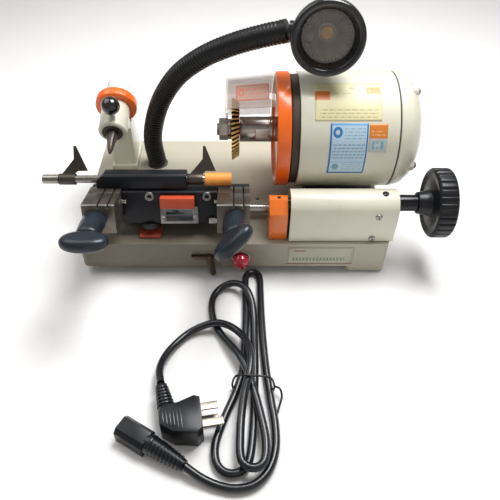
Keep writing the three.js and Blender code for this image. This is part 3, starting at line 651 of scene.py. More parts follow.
# four cast lugs with their screws round the bolt circle of the rear bell
BOLT_CIRCLE_R, SLOT_CIRCLE_R, SLOT_COUNT = 47.5, 32.2, 12
for index, angle in enumerate((-168, -78, 12, 102)):
    a = math.radians(angle)
    y, z = SPIN[0] + BOLT_CIRCLE_R * math.cos(a), SPIN[1] + BOLT_CIRCLE_R * math.sin(a)
    turned(f"bell_lug_{index + 1}", [(0, 11), (4.6, 11), (5.6, 8.5), (6.4, 0), (0, 0)],
           facing((156, y, z), (1, 0, 0)), cream, None, "frame", 28, 1)
    screw_head(f"bell_bolt_{index + 1}", facing((166.8, y, z), (1, 0, 0)), 3.4, 2.6, "frame", "cross")
# cooling slots sunk in the rear bell, each a thin black plate: painted shade of the opening
for index in range(SLOT_COUNT):
    a = 2 * math.pi * index / SLOT_COUNT + 0.26
    place = within(SPINDLE, (172.7, SLOT_CIRCLE_R * math.cos(a), SLOT_CIRCLE_R * math.sin(a)),
                   (1, math.cos(a) * 0.42, math.sin(a) * 0.42), a)
    block(f"bell_slot_{index + 1}", -0.25, 0.35, -5, 5, -1.1, 1.1, place, shade_and_seam_black, "frame", 0.2)

for node, material, width in (("motor_pedestal", dark_cast, 0.9), ("stator_core", laminate, 0.3),
                              ("rotor", turned_steel, 0.3), ("front_bearing", bright, 0.3),
                              ("rear_bearing", bright, 0.3)):
    from_node(node, material, width)
# copper end windings either side of the core
for index, x in enumerate((65.5, 138.5)):
    turned(f"end_winding_{index + 1}", [(34, x - 4.5), (48, x - 4.5), (50, x), (48, x + 4.5), (34, x + 4.5),
                                        (32.5, x)], SPINDLE, copper, None, "frame", 72, 1.5,
           ripple=lambda a, xx, r: 0.5 * math.sin(36 * a + xx), closed=True)
# thin seam band where shell and rear bell meet
turned("bell_seam", [(55.2, 147.05), (55.9, 147.05), (55.9, 147.75), (55.2, 147.75)], SPINDLE, shade_and_seam_black, None,
       "frame", 96, 0, closed=True)


# ---- motor labels ---------------------------------------------------------------------------------
def sheet_mesh(name, nu, nv, place, flip=False):
    """Grid of quads at place(u, v) in metres, with u and v from 0 to 1 as its UV map."""
    bm = bmesh.new()
    uv = bm.loops.layers.uv.new("UVMap")
    grid = [[bm.verts.new(place(i / nu, j / nv)) for j in range(nv + 1)] for i in range(nu + 1)]
    for i in range(nu):
        for j in range(nv):
            corners = ((i, j), (i + 1, j), (i + 1, j + 1), (i, j + 1))
            face = bm.faces.new([grid[u][v] for u, v in corners])
            for loop, (u, v) in zip(face.loops, corners):
                loop[uv].uv = (u / nu, 1 - v / nv if flip else v / nv)
    return mesh_of(bm, name)


def wrapped_sheet(name, x0, x1, a0, a1, material, nx=24, na=24, radius=56.05):
    """Thin label bent round the motor from angle a0 to a1 (degrees, 0 to the front, 90 on top)."""
    def place(u, v):
        a = math.radians(a0 + (a1 - a0) * v)
        return (x0 + (x1 - x0) * u) / 1000, -radius / 1000 * math.cos(a), radius / 1000 * math.sin(a)

    obj = new_object(name, sheet_mesh(name, nx, na, place), SPINDLE)
    smooth(obj)
    thicken(obj, 0.12)
    settle(obj, None, "frame", material)


class Print(Nodes):
    """Printed label: rectangles, discs and rows of strokes laid out in the label's own u, v."""

    def __init__(self, name, paper):
        super().__init__(name)
        self.u, self.v, _ = self.axes(self.tree.nodes.new("ShaderNodeTexCoord").outputs["UV"])
        self.tone = self.ramp(self.noise(60, 5, 0.7), [(0.3, shade(paper, 0.9)), (0.7, paper)])
        self.shader.inputs["Roughness"].default_value = 0.4

    def band(self, value, low, high):
        return self.times(self.above(value, low), self.below(value, high))

    def rect(self, u0, u1, v0, v1, colour, strength=1.0, strokes=0, seed=0.0):
        mask = self.times(self.band(self.u, u0, u1), self.band(self.v, v0, v1))
        if strokes:
            a = self.math("SINE", self.plus(self.times(self.u, strokes * 6.2832), seed))
            b = self.math("SINE", self.times(self.u, strokes * 2.33))
            mask = self.times(mask, self.above(self.plus(a, b), -0.45))
        if strength < 1:
            mask = self.times(mask, strength)
        self.tone = self.mix(mask, self.tone, colour)

    def disc(self, u, v, ru, rv, colour, inner=0.0):
        du = self.math("DIVIDE", self.minus(self.u, u), ru)
        dv = self.math("DIVIDE", self.minus(self.v, v), rv)
        r = self.math("SQRT", self.plus(self.times(du, du), self.times(dv, dv)))
        mask = self.below(r, 1.0)
        if inner:
            mask = self.times(mask, self.above(r, inner))
        self.tone = self.mix(mask, self.tone, colour)

    def done(self):
        self.colour(self.tone)
        self.bump(self.noise(700), 0.08)
        return self.material


BLUE = (0.03, 0.19, 0.48)
label = Print("rating_label_print", (0.50, 0.68, 0.80))
label.rect(0, 1, 0, 1, BLUE)
label.rect(0.05, 0.96, 0.035, 0.965, (0.48, 0.66, 0.79))
label.disc(0.2, 0.84, 0.125, 0.1, BLUE)
label.disc(0.2, 0.84, 0.055, 0.045, (0.55, 0.62, 0.66))
label.disc(0.2, 0.17, 0.09, 0.07, (0.16, 0.38, 0.5))
for row in range(4):
    label.rect(0.38, 0.93, 0.895 - row * 0.058, 0.915 - row * 0.058, (0.16, 0.33, 0.47), 0.7, 15 + row, row)
for row in range(5):
    label.rect(0.09, 0.93, 0.60 - row * 0.062, 0.626 - row * 0.062, (0.13, 0.27, 0.45), 0.75, 22 + row, row * 2)
for row in range(3):
    label.rect(0.38, 0.9, 0.215 - row * 0.055, 0.232 - row * 0.055, (0.2, 0.36, 0.47), 0.6, 14 + row, row)
label.rect(0.05, 0.96, 0.27, 0.278, BLUE, 0.8)
wrapped_sheet("rating_label", 83.5, 118, -13.5, 38, label.done())

side = Print("quality_label_print", (0.50, 0.55, 0.57))
side.rect(0, 1, 0.5, 1, (0.72, 0.22, 0.035))
side.rect(0.12, 0.88, 0.6, 0.64, (0.83, 0.55, 0.33), 0.8, 7)
side.rect(0.12, 0.7, 0.72, 0.76, (0.83, 0.55, 0.33), 0.8, 6, 1)
side.rect(0.2, 0.8, 0.12, 0.4, (0.13, 0.36, 0.50), 0.9, 4, 2)
side.rect(0.28, 0.62, 0.2, 0.32, (0.55, 0.62, 0.66), 0.8)
wrapped_sheet("quality_label", 119, 135.5, 11, 37.5, side.done(), 12, 16)

yellow = Print("notice_label_print", (0.76, 0.71, 0.42))
for row in range(3):
    yellow.rect(0.06, 0.93, 0.245 - row * 0.085, 0.275 - row * 0.085, (0.36, 0.30, 0.16), 0.65, 24 + 2 * row, row)
yellow.rect(0.42, 0.60, 0.80, 0.86, (0.40, 0.33, 0.17), 0.7, 4)
yellow.rect(0.30, 0.70, 0.665, 0.695, (0.40, 0.33, 0.17), 0.5, 12)
yellow.rect(0.0, 0.23, 0.50, 0.74, (0.72, 0.20, 0.04))
yellow.rect(0.78, 0.98, 0.66, 0.86, (0.76, 0.28, 0.06))
yellow.rect(0.82, 0.94, 0.71, 0.81, (0.80, 0.52, 0.26), 0.8, 3)
yellow.rect(0.03, 0.2, 0.55, 0.68, (0.62, 0.14, 0.03), 0.7, 4, 1)
wrapped_sheet("notice_label", 69.5, 130, 40, 80, yellow.done(), 32, 22)

# ---- cutter, arbor and guard ----------------------------------------------------------------------
turned("guard_flange_turned", [(22.6, 40.5), (49.3, 39.3), (51.4, 35.8), (55.5, 36.4), (55.5, 48.9), (52, 48.9),
                               (51.2, 44), (22.6, 43.6)], SPINDLE, orange, "guard_flange", segments=110, ease=0.9,
       closed=True)

guard_clear = polished("clear_guard", [(0.3, (0.36, 0.26, 0.20)), (0.7, (0.46, 0.35, 0.27))], (40, 4), 0.09, (220, 3),
                       0.05, Alpha=0.36, Coat_Weight=0.6)
GUARD_X, GUARD_R, GUARD_WALL = (-12, 35.2), (49, 54), 2.2
GUARD_FROM, GUARD_TO, GUARD_STEPS = -15, 125, 56
bm = bmesh.new()
profile = rounded([(16, GUARD_X[0]), (GUARD_R[0], GUARD_X[0]), (GUARD_R[1], GUARD_X[1]),
                   (GUARD_R[1] - GUARD_WALL, GUARD_X[1]), (GUARD_R[0] - GUARD_WALL, GUARD_X[0] + GUARD_WALL),
                   (16, GUARD_X[0] + GUARD_WALL)], 1.6, 3, True)
angles = [math.radians(GUARD_FROM + (GUARD_TO - GUARD_FROM) * i / GUARD_STEPS) for i in range(GUARD_STEPS + 1)]
loft(bm, [[bm.verts.new(polar(x, r, a)) for r, x in profile] for a in angles])
guard = new_object("guard_shell", mesh_of(bm, "guard_shell"), SPINDLE)
smooth(guard, 40)
settle(guard, "cutter_guard", material=guard_clear)

patch = Print("guard_patch_print", (0.45, 0.27, 0.21))
patch.rect(0, 1, 0, 1, (0.60, 0.05, 0.02))
patch.rect(0.03, 0.97, 0.05, 0.95, (0.43, 0.26, 0.20))
patch.rect(0.30, 0.9, 0.62, 0.74, (0.62, 0.13, 0.06), 0.6, 10)
patch.rect(0.30, 0.9, 0.30, 0.40, (0.62, 0.13, 0.06), 0.6, 13, 1)
patch.disc(0.15, 0.5, 0.085, 0.27, (0.66, 0.10, 0.04), 0.62)
patch_material = patch.done()
patch_material.node_tree.nodes["Principled BSDF"].inputs["Alpha"].default_value = 0.7


def patch_point(u, v):
    x = -1.5 + 30 * u
    r = GUARD_R[0] + (GUARD_R[1] - GUARD_R[0]) * (x - GUARD_X[0]) / (GUARD_X[1] - GUARD_X[0]) + 0.05
    return polar(x, r, math.radians(112 - 21 * (1 - v)) + 0.09)


guard_patch = new_object("guard_patch", sheet_mesh("guard_patch", 16, 8, patch_point, flip=True), SPINDLE)
thicken(guard_patch, 0.1)
settle(guard_patch, None, "frame", patch_material)


def cutter_mesh():
    """Bevelled saw with slanted teeth across its rim."""
    bm = bmesh.new()
    teeth, per_tooth = 42, 5
    rim = [(2 * math.pi * (i // per_tooth + (0, 0.36, 0.46, 0.74, 0.88)[i % per_tooth]) / teeth,
            (0, 0.05, 1.7, 1.8, 0.9)[i % per_tooth]) for i in range(teeth * per_tooth)]
    # radius, distance across the saw, and how deep the teeth are cut there
    layout = [(6.4, 0.0, 0), (20, 0.0, 0), (24.5, 0.35, 0), (29.9, 0.0, 1), (30, 1.6, 1), (25.8, 7.6, 1),
              (24.3, 7.6, 0.4), (20, 7.1, 0), (6.4, 7.1, 0)]
    loops = []
    for r, x, cut in layout:
        slant = -0.012 * x if cut else 0
        loops.append([bm.verts.new(polar(-6.2 + x, r - depth * cut, a + slant)) for a, depth in rim])
    loft(bm, loops + loops[:1], caps=False)
    bm.faces.ensure_lookup_table()
    for index, face in enumerate(bm.faces):
        row, i = divmod(index, len(rim))
        # the faces down in the tooth gaps take the dark colour: painted shade in the gullets; tooth tops and backs
        # stay gold
        if row in (2, 3, 4, 5):
            face.material_index = 2 if i % per_tooth in (0, 4) else 1
    return mesh_of(bm, "cutter")


gold = surface("cutter_gold", (0.95, 0.70, 0.26), 0.4, 0.55, 900, 0.05, 0.12)
# dark brown for the tooth gaps: painted shade
gullet_shade = surface("cutter_gullet_shade", (0.035, 0.022, 0.012), 0.5, 0.5, 900, 0.3, 0.25)
cutter_side = surface("cutter_side", (0.22, 0.13, 0.06), 0.36, 0.9, 900, 0.25, 0.2)
cutter = new_object("cutter_toothed", cutter_mesh(), SPINDLE)
cutter.data.polygons.foreach_set("use_smooth", [False] * len(cutter.data.polygons))
settle(cutter, "cutter", material=[cutter_side, gullet_shade, gold])

from_node("arbor", arbor_steel, 0.5, 3)
bm = bmesh.new()
for section, ease, steps, sides in (([(7.3, -18.9), (10.9, -18.9), (10.9, -9.8), (7.3, -9.8)], 0.7, 3, 6),
                                    ([(6.4, -9.8), (10, -9.8), (10, -6.5), (6.4, -6.5)], 0.4, 2, 48)):
    outline = rounded(section, ease, steps, True)
    lathe_bm(bm, outline + outline[:1], sides)
nut = new_object("arbor_nut_hex", mesh_of(bm, "arbor_nut"), SPINDLE)
smooth(nut, 30)
settle(nut, "arbor_nut", material=arbor_steel)
turned("arbor_screw_thread", [(0, -20.9), (5.2, -20.9), (5.95, -20.3), (5.95, -18.7), (0, -18.7)], SPINDLE,
       turned_steel, None, "spindle", 32, 0.3)
turned("arbor_collar", [(12.41, 31), (12.6, 31.3), (12.6, 34.6), (12.41, 35)], SPINDLE, arbor_steel, None, "spindle",
       64, 0)

# ---- tracer ---------------------------------------------------------------------------------------
from_node("tracer_post", cream, 1.2, 3)
along = within(STYLUS, (0, 0, 0), (0, 1, 0))
# collet ring in the barrel's mouth, its dark casting colour painted shade of the bore
turned("tracer_collet", [(6.1, 28.4), (10.5, 28.6), (10.5, 31), (6.1, 31)], along, dark_cast, None, "frame", 48, 0.3,
       closed=True)
turned("tracer_ring_turned", [(5.9, 62.1), (19.8, 62.1), (21.3, 63.8), (21.3, 71.3), (19.2, 73.6), (12.6, 73.6),
                              (5.9, 73.6)], along, orange, "tracer_ring", segments=96, ease=1.2, closed=True,
       ripple=lambda a, x, r: -0.28 * max(0, math.cos(24 * a)) ** 4 if r > 20 else 0)
turned("tracer_cap_turned", [(5.9, 74.1), (12.3, 74.1), (12.3, 94.5), (10.4, 97.6), (0, 97.9)], along, white_cap,
       "tracer_cap", segments=64, ease=1.4)


def stylus_mesh():
    """Blunt point with two flats, running into the round bar."""
    bm = bmesh.new()
    sections = [(2.4, 0.9, 1.0), (4.5, 2.2, 2.5), (9, 3.3, 3.9), (14, 4.2, 4.8), (22, 5.2, 5.3), (24, 5.5, 5.5),
                (90, 5.5, 5.5)]
    rings = []
    for x, ry, rz in sections:
        flat = 0.72 * ry if x < 22 else ry
        ring = []
        for i in range(32):
            a = 2 * math.pi * i / 32
            ring.append(bm.verts.new((x / 1000, max(-flat, min(flat, ry * math.cos(a))) / 1000,
                                      rz * math.sin(a) / 1000)))
        rings.append(ring)
    loft(bm, rings)
    return mesh_of(bm, "stylus")


stylus = new_object("stylus_ground", stylus_mesh(), along)
smooth(stylus, 30)
settle(stylus, "tracer_stylus", material=blued)

# clamp lever: screw, bent arm and ball
arm_points, _ = spline_points([M(-126.5, 106, 130.2), M(-122.5, 102.4, 132.8), M(-122.6, 98, 134.8),
                               M(-124.4, 95, 135.8)], 0.0012)
lever = sweep("tracer_lever_arm", arm_points, [0.0026] * len(arm_points), 20)

hub = lathed_mesh("hub", rounded([(0, 0), (5.4, 0), (5.4, 3.6), (4.2, 4.6), (0, 4.6)], 0.5), 40,
                  facing((-126.5, 106, 128.3), (0, 0, 1)))
shaft = lathed_mesh("shaft", [(0, 0), (3, 0), (3, 11), (0, 11)], 24, facing((-126.5, 106, 118), (0, 0, 1)))
ball_bm = bmesh.new()
bmesh.ops.create_uvsphere(ball_bm, u_segments=48, v_segments=28, radius=0.0092)
ball = mesh_of(ball_bm, "ball")
ball.transform(Matrix.Translation(M(-124.4, 94.5, 136.2)))
for polygon in ball.polygons:
    polygon.material_index = 1
bm = bmesh.new()
for mesh in (lever.data, hub, shaft, ball):
    bm.from_mesh(mesh)
bm.to_mesh(lever.data)
bm.free()
smooth(lever, 50)
ball_black = surface("ball_bakelite", (0.006, 0.0065, 0.008), 0.1, 0, 400, 0.02, 0.2, coat=0.8)
settle(lever, "tracer_lock", material=[zinc, ball_black])

# ---- feed drive -----------------------------------------------------------------------------------
from_node("screw_bearing_block", orange_paint, 0.9, 3)
from_node("feed_cover", cream, 0.7, 3, angle=40)
for index, (x, z) in enumerate(((130.5, 44.6), (132.8, 72.0))):
    screw_head(f"cover_screw_{index + 1}", facing((x, 3.35, z), (0, -1, 0)), 3.3, 1.7, "frame")
a = math.radians(82)
screw_head("cover_screw_3", facing((138.6, 19.4 - 15.95 * math.cos(a), 73.4 + 15.95 * math.sin(a)),
                                   (0, -math.cos(a), math.sin(a))), 3.0, 1.0, "frame", "cross",
           black_steel)
# oil hole: black ring and disc on the block's top, painted shade of the hole
OIL_HOLE = facing((39, 20.5, 82), (0, 0, 1))
turned("oil_hole_rim", [(1.25, 0), (1.7, 0), (1.7, 0.25), (1.25, 0.25)], OIL_HOLE, shade_and_seam_black, None, "frame", 24, 0,
       closed=True)
turned("oil_hole_floor", [(0, 0.02), (1.25, 0.02), (1.25, 0.12), (0, 0.12)], OIL_HOLE, shade_and_seam_black, None, "frame", 24,
       0)

wheel_profile = [(8.3, 171), (10.4, 171), (11.6, 179), (13.2, 183.3), (24, 184.6), (30.5, 183), (33.4, 185),
                 (33.4, 199), (31.2, 201), (27, 200.6), (24, 198), (13, 198), (11, 199.6), (8.3, 199.6)]


def flutes(a, x, r):
    return -1.15 * max(0.0, math.cos(30 * (a + 0.05))) ** 3 if r > 32.5 else 0


turned("handwheel_turned", wheel_profile, SCREW_LINE, wheel_black, "handwheel", segments=300, ease=1.3, ripple=flutes,
       closed=True)
turned("feed_screw_turned", [(0, 41), (5, 41), (5, 138), (8, 138), (8, 197.6), (0, 197.6)], SCREW_LINE, black_steel,
       "feed_screw", segments=56, ease=0.5)
for node, material, width in (("pivot_rod", bright, 0.5), ("feed_arm", dark_cast, 0.6),
                              ("left_rod_block", dark_cast, 0.6), ("right_rod_block", dark_cast, 0.6)):
    from_node(node, material, width)

# ---- carriage -------------------------------------------------------------------------------------
from_node("carriage_body", black_paint, 0.8, 3)
from_node("gauge_rail", black_paint, 0.7, 3)
GAUGE_LINE = within(CARRIAGE, (0, -16.8, 38.4), (1, 0, 0))
turned("gauge_shaft_turned", [(0, -186.5), (4.0, -186.5), (4.5, -186), (4.5, -171.5), (3.6, -171.1), (3.6, -8),
                              (0, -8)], GAUGE_LINE, turned_steel, "gauge_shaft", segments=48, ease=0.3)
for side in ("left", "right"):
    from_node(f"{side}_fishtail", blued, 0.35)
turned("gauge_sleeve_moulded", [(3.9, -31.6), (6.0, -31.6), (6.3, -31.1), (6.3, -6.7), (6.0, -6.2), (0, -6.2)],
       GAUGE_LINE, sleeve_orange, "gauge_sleeve", segments=48, ease=0.3)
for side, x in (("left", -126), ("right", -4)):
    from_node(f"{side}_rear_jaw", clamp_steel, 0.45)
    from_node(f"{side}_front_jaw", clamp_steel, 0.45)
    body = f"{side}_jaw"
    # strips along each jaw's top front edge: ground chamfers coloured as a painted highlight line
    for index, (x0, x1) in enumerate(((x - 15, x - 0.75), (x + 0.75, x + 8.25), (x + 9.75, x + 15))):
        block(f"{side}_jaw_edge_{index + 1}", x0, x1, -61.5, -60.7, 30.9, 32.0, CARRIAGE, edge_highlight_steel, body,
              0.25)


def eased(value, power):
    return math.copysign(abs(value) ** power, value)


def wing_knob(name, node, x, turn):
    """Round stem with a dished oval wing across its end, and the steel stud it is moulded on."""
    bm = bmesh.new()
    lathe_bm(bm, rounded([(0, 45), (8.5, 45), (8.5, 60), (8.1, 70), (7.6, 77), (0, 82)], 2), 48)
    for v in bm.verts:
        v.co.y *= 1.32
    sides, rows = 64, 22
    rings = []
    for j in range(1, rows):
        t = math.pi * j / rows
        zc = math.cos(t)
        thick = 6.9 * eased(zc, 0.8)
        spread = abs(math.sin(t)) ** 0.55
        ring = []
        for i in range(sides):
            a = 2 * math.pi * i / sides
            ca, sa = math.cos(a), math.sin(a)
            px = 20.9 * eased(ca, 0.92) * spread
            py = 12.4 * eased(sa, 0.92) * spread
            dish = 1.1 * math.exp(-((px / 11) ** 2 + (py / 5.5) ** 2)) * (1 if abs(zc) > 0.3 else 0)
            ring.append(bm.verts.new(((88.4 + py) / 1000, px / 1000, (thick - math.copysign(dish, thick)) / 1000)))
        rings.append(ring)
    loft(bm, rings)
    lathe_bm(bm, rounded([(0, 4), (3.9, 4), (3.9, 46), (0, 46)], 0.5), 28, mat=1)
    obj = new_object(name, mesh_of(bm, name), within(CARRIAGE, (x, -16.5, 18), (0, -1, 0), turn))
    smooth(obj, 50)
    settle(obj, node, material=[slate, turned_steel])


wing_knob("left_wing_knob_moulded", "left_wing_knob", -129.5, 0.0)
wing_knob("right_wing_knob_moulded", "right_wing_knob", -4, math.radians(45))

FRONT = -27.6
from_node("release_button", red_block, 0.7, 3)


def badge_mesh():
    """Frame round a sunken blank window."""
    bm = bmesh.new()
    x0, x1, z0, z1 = -74.7, -38.3, -2.5, 15.2
    wx0, wx1, wz0, wz1 = -69.6, -43.4, 0.9, 12.4
    y_out, y_in, y_back = FRONT - 3, FRONT - 1.5, FRONT - 0.3
    outer = [(x0, z0), (x1, z0), (x1, z1), (x0, z1)]
    inner = [(wx0, wz0), (wx1, wz0), (wx1, wz1), (wx0, wz1)]
    vo, vb, vi, vd = ([bm.verts.new((x / 1000, y / 1000, z / 1000)) for x, z in corners]
                      for corners, y in ((outer, y_out), (outer, y_back), (inner, y_out), (inner, y_in)))
    for i in range(4):
        j = (i + 1) % 4
        bm.faces.new((vo[i], vo[j], vi[j], vi[i]))
        bm.faces.new((vo[i], vb[i], vb[j], vo[j]))
        bm.faces.new((vi[i], vi[j], vd[j], vd[i]))
    bm.faces.new(vb)
    bm.faces.new(vd).material_index = 1
    return mesh_of(bm, "badge")


window = polished("badge_window", [(0.3, (0.008, 0.011, 0.018)), (0.62, (0.02, 0.028, 0.04)),
                                   (0.8, (0.05, 0.06, 0.07))], (120, 5, 0.7), 0.12, (60,), 0.05, Coat_Weight=0.8)
badge = new_object("badge_shape", badge_mesh(), CARRIAGE)
bevel(badge, 0.5, 2)
smooth(badge)
settle(badge, "badge_frame", material=[badge_steel, window])
for index, x in enumerate((-71.6, -41.4)):
    screw_head(f"badge_rivet_{index + 1}", within(CARRIAGE, (x, FRONT - 2.9, 5.6), (0, -1, 0)), 1.7, 1.1, "carriage",
               "plain", bright)
for index, x in enumerate((-84.5, -29.6)):
    place = within(CARRIAGE, (x, FRONT + 0.05, 25), (0, -1, 0))
    turned(f"carriage_screw_{index + 1}", [(0, 0.15), (2.1, 0.15), (2.3, 0.9), (4.2, 0.9), (4.6, 0.2), (4.6, -0.6),
                                           (0, -0.6)], place, badge_steel, None, "carriage", 36, 0.3)
    # black disc in the head: painted shade of the hex socket
    turned(f"carriage_screw_socket_{index + 1}", [(0, 0.17), (2.0, 0.17), (2.0, 0.3), (0, 0.3)], place, shade_and_seam_black,
           None, "carriage", 6, 0)
block("carriage_stop_tab", -28.2, -20.6, FRONT - 2.4, FRONT + 0.6, -2.6, 3.4, CARRIAGE, zinc, "carriage",
      0.5)
block("carriage_seam", -110.2, -19.8, FRONT - 0.12, FRONT + 0.4, 27.6, 28.1, CARRIAGE, shade_and_seam_black, "carriage",
      0.05)
for index, x in enumerate((-20.5, -109.5)):
    turned(f"clamp_pin_{index + 1}", [(0, -2.6), (1.9, -2.6), (2.4, -2), (2.4, 2.4), (0, 2.6)],
           within(CARRIAGE, (x, FRONT + 1.5, 19.5), (1, 0, 0)), bright, None, "carriage", 28, 0.4)
stop_line = within(CARRIAGE, (-86, -23, 0), (0, 0, 1))
turned("stop_screw_knob", [(0, -10.9), (3.6, -10.9), (4, -10.4), (4, -8.8), (8.2, -8.8), (9, -8), (9, -4.2),
                           (8.2, -3.4), (0, -3.4)], stop_line, black_plastic, "stop_screw", segments=96, ease=0.3,
       ripple=lambda a, x, r: -0.35 * max(0, math.cos(18 * a)) if r > 8.5 else 0)

# ---- switch, latch, inlet -------------------------------------------------------------------------
from_node("stop_pad", red_pad, 0.7, 3)
BUTTON = facing((3, 0, 20.5), (0, -1, 0))
turned("power_button_domed", [(0, -9), (5.3, -9), (5.3, 3), (8.35, 3), (8.3, 5.3), (7.5, 8.1), (5.6, 10.4),
                              (2.8, 11.7), (0, 12)], BUTTON, ruby, "power_button", segments=72, ease=0.3)
turned("button_bezel", [(6.0, 0.1), (9.6, 0.1), (9.3, 0.65), (6.0, 0.65)], BUTTON, zinc, None, "frame", 56, 0.3,
       closed=True)
from_node("switch_body", black_plastic, 0.6)
from_node("inlet_socket", black_plastic, 0.5)
from_node("latch_lever", bronze, 0.5, 2)

# ---- work lamp ------------------------------------------------------------------------------------
NECK_ROUTE = [(-91.6, 132.7, 42), (-94.4, 135, 69.6), (-88.6, 133.2, 98.7), (-77.4, 129.2, 126.4),
              (-58.4, 123.1, 154.4), (-32.3, 116, 176.4), (-4.8, 108, 192), (21.1, 100.9, 202.8), (43.6, 95.2, 210.4)]
neck_points, neck_length = spline_points([M(*p) for p in NECK_ROUTE], 0.0008)
RIB_PITCH = 0.0034
radii = []
for i in range(len(neck_points)):
    s = neck_length * i / (len(neck_points) - 1)
    rib = 0.01 + 0.00036 * eased(math.cos(2 * math.pi * s / RIB_PITCH), 0.5)
    if s < 0.004 or s > neck_length - 0.005:
        rib = 0.0102
    radii.append(rib)
neck = sweep("gooseneck_sheath", neck_points, radii, 26)
neck_black = surface("neck_sheath", (0.006, 0.006, 0.0065), 0.36, 0, 1200, 0.08, 0.25, dull=0.35)
neck.data.materials.append(neck_black)
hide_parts("gooseneck_lower", "gooseneck_upper")
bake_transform(neck)
turned("lamp_base_ring", [(10.2, 0.1), (11.3, 0.1), (11.2, 1.0), (10.2, 1.3)], facing((-91.6, 132.7, 40), (0, 0, 1)),
       black_plastic, None, "frame", 56, 0.2, closed=True)

HEAD = facing((76.6, 71, 213), (0.1, 0.982, -0.156))
head_profile = [(0, 37.9), (16.8, 37.9), (20.8, 34), (22.8, 24), (30.4, 13.6), (32.3, 9.4), (32.4, 2.2), (31, 0.2),
                (28.6, 0.1), (26.4, 1.2), (24.6, 6.5), (23.1, 10.6), (21.8, 11.4), (8.4, 24.2), (0, 24.4)]


def head_fins(a, x, r):
    return 0.35 * math.cos(40 * a) if 24.5 < x < 36 and 20 < r < 23 else 0


head_mesh = lathed_mesh("lamp_head_body", rounded(head_profile, 0.9), 110, HEAD, head_fins)
knuckle_points, _ = spline_points([M(45.4, 94.8, 210.8), M(54, 92.6, 210.8), M(66, 90.5, 208)], 0.001)
knuckle_radii = [0.0086 if i < 5 else 0.0076 for i in range(len(knuckle_points))]
knuckle = sweep("lamp_knuckle", knuckle_points, knuckle_radii, 32)
bm = bmesh.new()
bm.from_mesh(head_mesh)
bm.from_mesh(knuckle.data)
bpy.data.objects.remove(knuckle)
lamp_head = new_object("lamp_head_body", mesh_of(bm, "lamp_head_body"))
smooth(lamp_head, 40)
lamp_black = surface("lamp_enamel", (0.0075, 0.008, 0.0095), 0.24, 0, 1500, 0.06, 0.25, coat=0.4)
settle(lamp_head, "lamp_head", material=lamp_black)

mirror = polished("lamp_reflector", [(0.3, (0.13, 0.105, 0.085)), (0.7, (0.21, 0.175, 0.145))], (70, 3), 0.28, (600,),
                  0.06, Metallic=0.75)
bowl = [(21.6, 11.7), (19.5, 13.4), (16.5, 15.9), (13.0, 18.8), (10.2, 21.4), (8.6, 23.2), (7.8, 23.9), (0, 23.95)]
reflector = new_object("lamp_reflector", lathed_mesh(
    "reflector", bowl, 176, HEAD, lambda a, x, r: 0.42 * math.cos(44 * a) * min(1, (r - 7.5) / 6) if r > 8 else 0))
smooth(reflector, 80)
settle(reflector, None, "lamp", mirror)
amber = surface("led_phosphor", (0.55, 0.26, 0.012), 0.35, 0, 1500, 0.1, 0.15, blotch=60)
turned("lamp_led", [(0, 22.4), (5.2, 22.5), (5.8, 23.2), (5.8, 23.9), (0, 23.9)], HEAD, amber, None, "lamp", 40, 0.4)

lens = polished("lamp_lens_glass", [(0.3, (0.62, 0.57, 0.54)), (0.7, (0.70, 0.66, 0.63))], (30,), 0.06, (90, 2), 0.03,
                Alpha=0.14, Coat_Weight=0.5)
turned("lamp_lens_disc", [(0, 8.6), (18, 8.7), (22.7, 9.2), (22.9, 10.4), (0, 10.2)], HEAD, lens, "lamp_lens",
       segments=96, ease=0.3)

# ---- plug and connector ---------------------------------------------------------------------------
def ribs(name, count, start, pitch, radius, depth, width, place):
    """Rings round a strain relief, its radius given by a function of the distance along it."""
    for index in range(count):
        x = start + index * pitch
        r = radius(x)
        turned(f"{name}_{index + 1}", [(r - depth, x), (r, x), (r, x + width), (r - depth, x + width)], place,
               cord_black, None, "frame", 40, 0.4, closed=True)


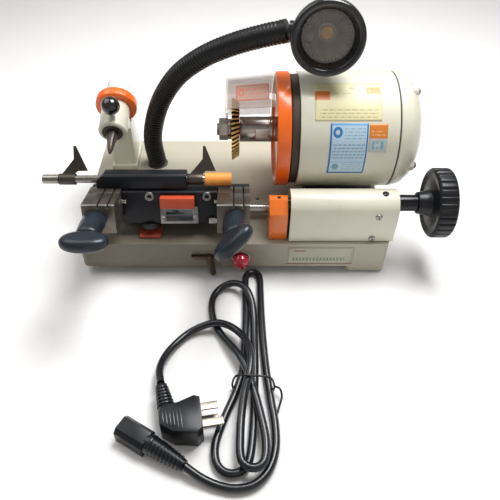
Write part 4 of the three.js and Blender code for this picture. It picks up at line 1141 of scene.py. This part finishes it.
connector = from_node("inlet_connector", plug_black, 0.9, 3)
along_lead = within(MACHINE, (-93, -175, 8), (0.855, -0.518, 0))
ribs("connector_rib", 8, 33, 3.3, lambda x: 7.75 - max(0, x - 38) * 0.108, 1.6, 1.7, along_lead)
turned("connector_shoulder", [(6, 25.6), (8.3, 25.6), (8.3, 31), (7.6, 32), (6, 32)], along_lead, cord_black, None,
       "frame", 40, 0.6, closed=True)
plug = from_node("mains_plug", plug_black, 0.8, 3)
plug.data.materials.append(pin_metal)
PLUG_TURN, PLUG_AT, BLADES_FROM = math.radians(10), (-46, -172, 0), 0.0176
for polygon in plug.data.polygons:
    local = polygon.center - M(*PLUG_AT)
    if local.x * math.cos(PLUG_TURN) + local.y * math.sin(PLUG_TURN) > BLADES_FROM:
        polygon.material_index = 1
PLUG = shifted(Matrix.Translation(Vector(PLUG_AT) / 1000) @ Matrix.Rotation(PLUG_TURN, 4, "Z"))
relief_line = within(PLUG, (-9, 5, 13), (-0.12, 1, 0.05))
ribs("plug_rib", 6, 8.5, 3.1, lambda x: 7.35 - (x - 8.5) / 3.1 * 0.36, 1.5, 1.6, relief_line)
for index in range(6):
    x = -13.6 + index * 2.8
    block(f"plug_ridge_{index + 1}", x, x + 1.3, -6.2 - index * 1.35, 5.5 + index * 0.3, 23.4, 24.35, PLUG,
          cord_black, "frame", 0.4)

# wire tie round the middle of the hank, its twisted tail standing out to the right
TIE_Y = -136.0
near = [p for p in cord_points if abs(p.y - M(0, TIE_Y, 0).y) < 0.0012 and p.x > M(-12, 0, 0).x]
x_low, x_high = min(p.x for p in near) - 0.0045, max(p.x for p in near) + 0.0045
z_top = max(p.z for p in near) + 0.0046
tie_y = M(0, TIE_Y, 0).y


def at_tie(x, back, z):
    return Vector((x, tie_y - back, z))


def wire(name, points):
    line, _ = spline_points(points, 0.001)
    piece = sweep(name, line, [0.0009] * len(line), 12)
    return settle(piece, None, "frame", black_plastic)


tie = wire("cord_tie", [at_tie(x_low + 0.0006, 0, 0.0012), at_tie(x_low, 0, 0.008),
                        at_tie(x_low + 0.004, 0, z_top - 0.001), at_tie((x_low + x_high) / 2, 0.0006, z_top),
                        at_tie(x_high - 0.004, 0.0014, z_top - 0.002), at_tie(x_high, 0.002, 0.008),
                        at_tie(x_high - 0.0004, 0.0022, 0.0012)])
tail = wire("cord_tie_tail", [at_tie(x_high, 0.002, 0.0075), at_tie(x_high + 0.0045, 0.0046, 0.0078),
                              at_tie(x_high + 0.006, 0.0105, 0.005), at_tie(x_high + 0.0035, 0.018, 0.0022),
                              at_tie(x_high + 0.0022, 0.023, 0.0014)])
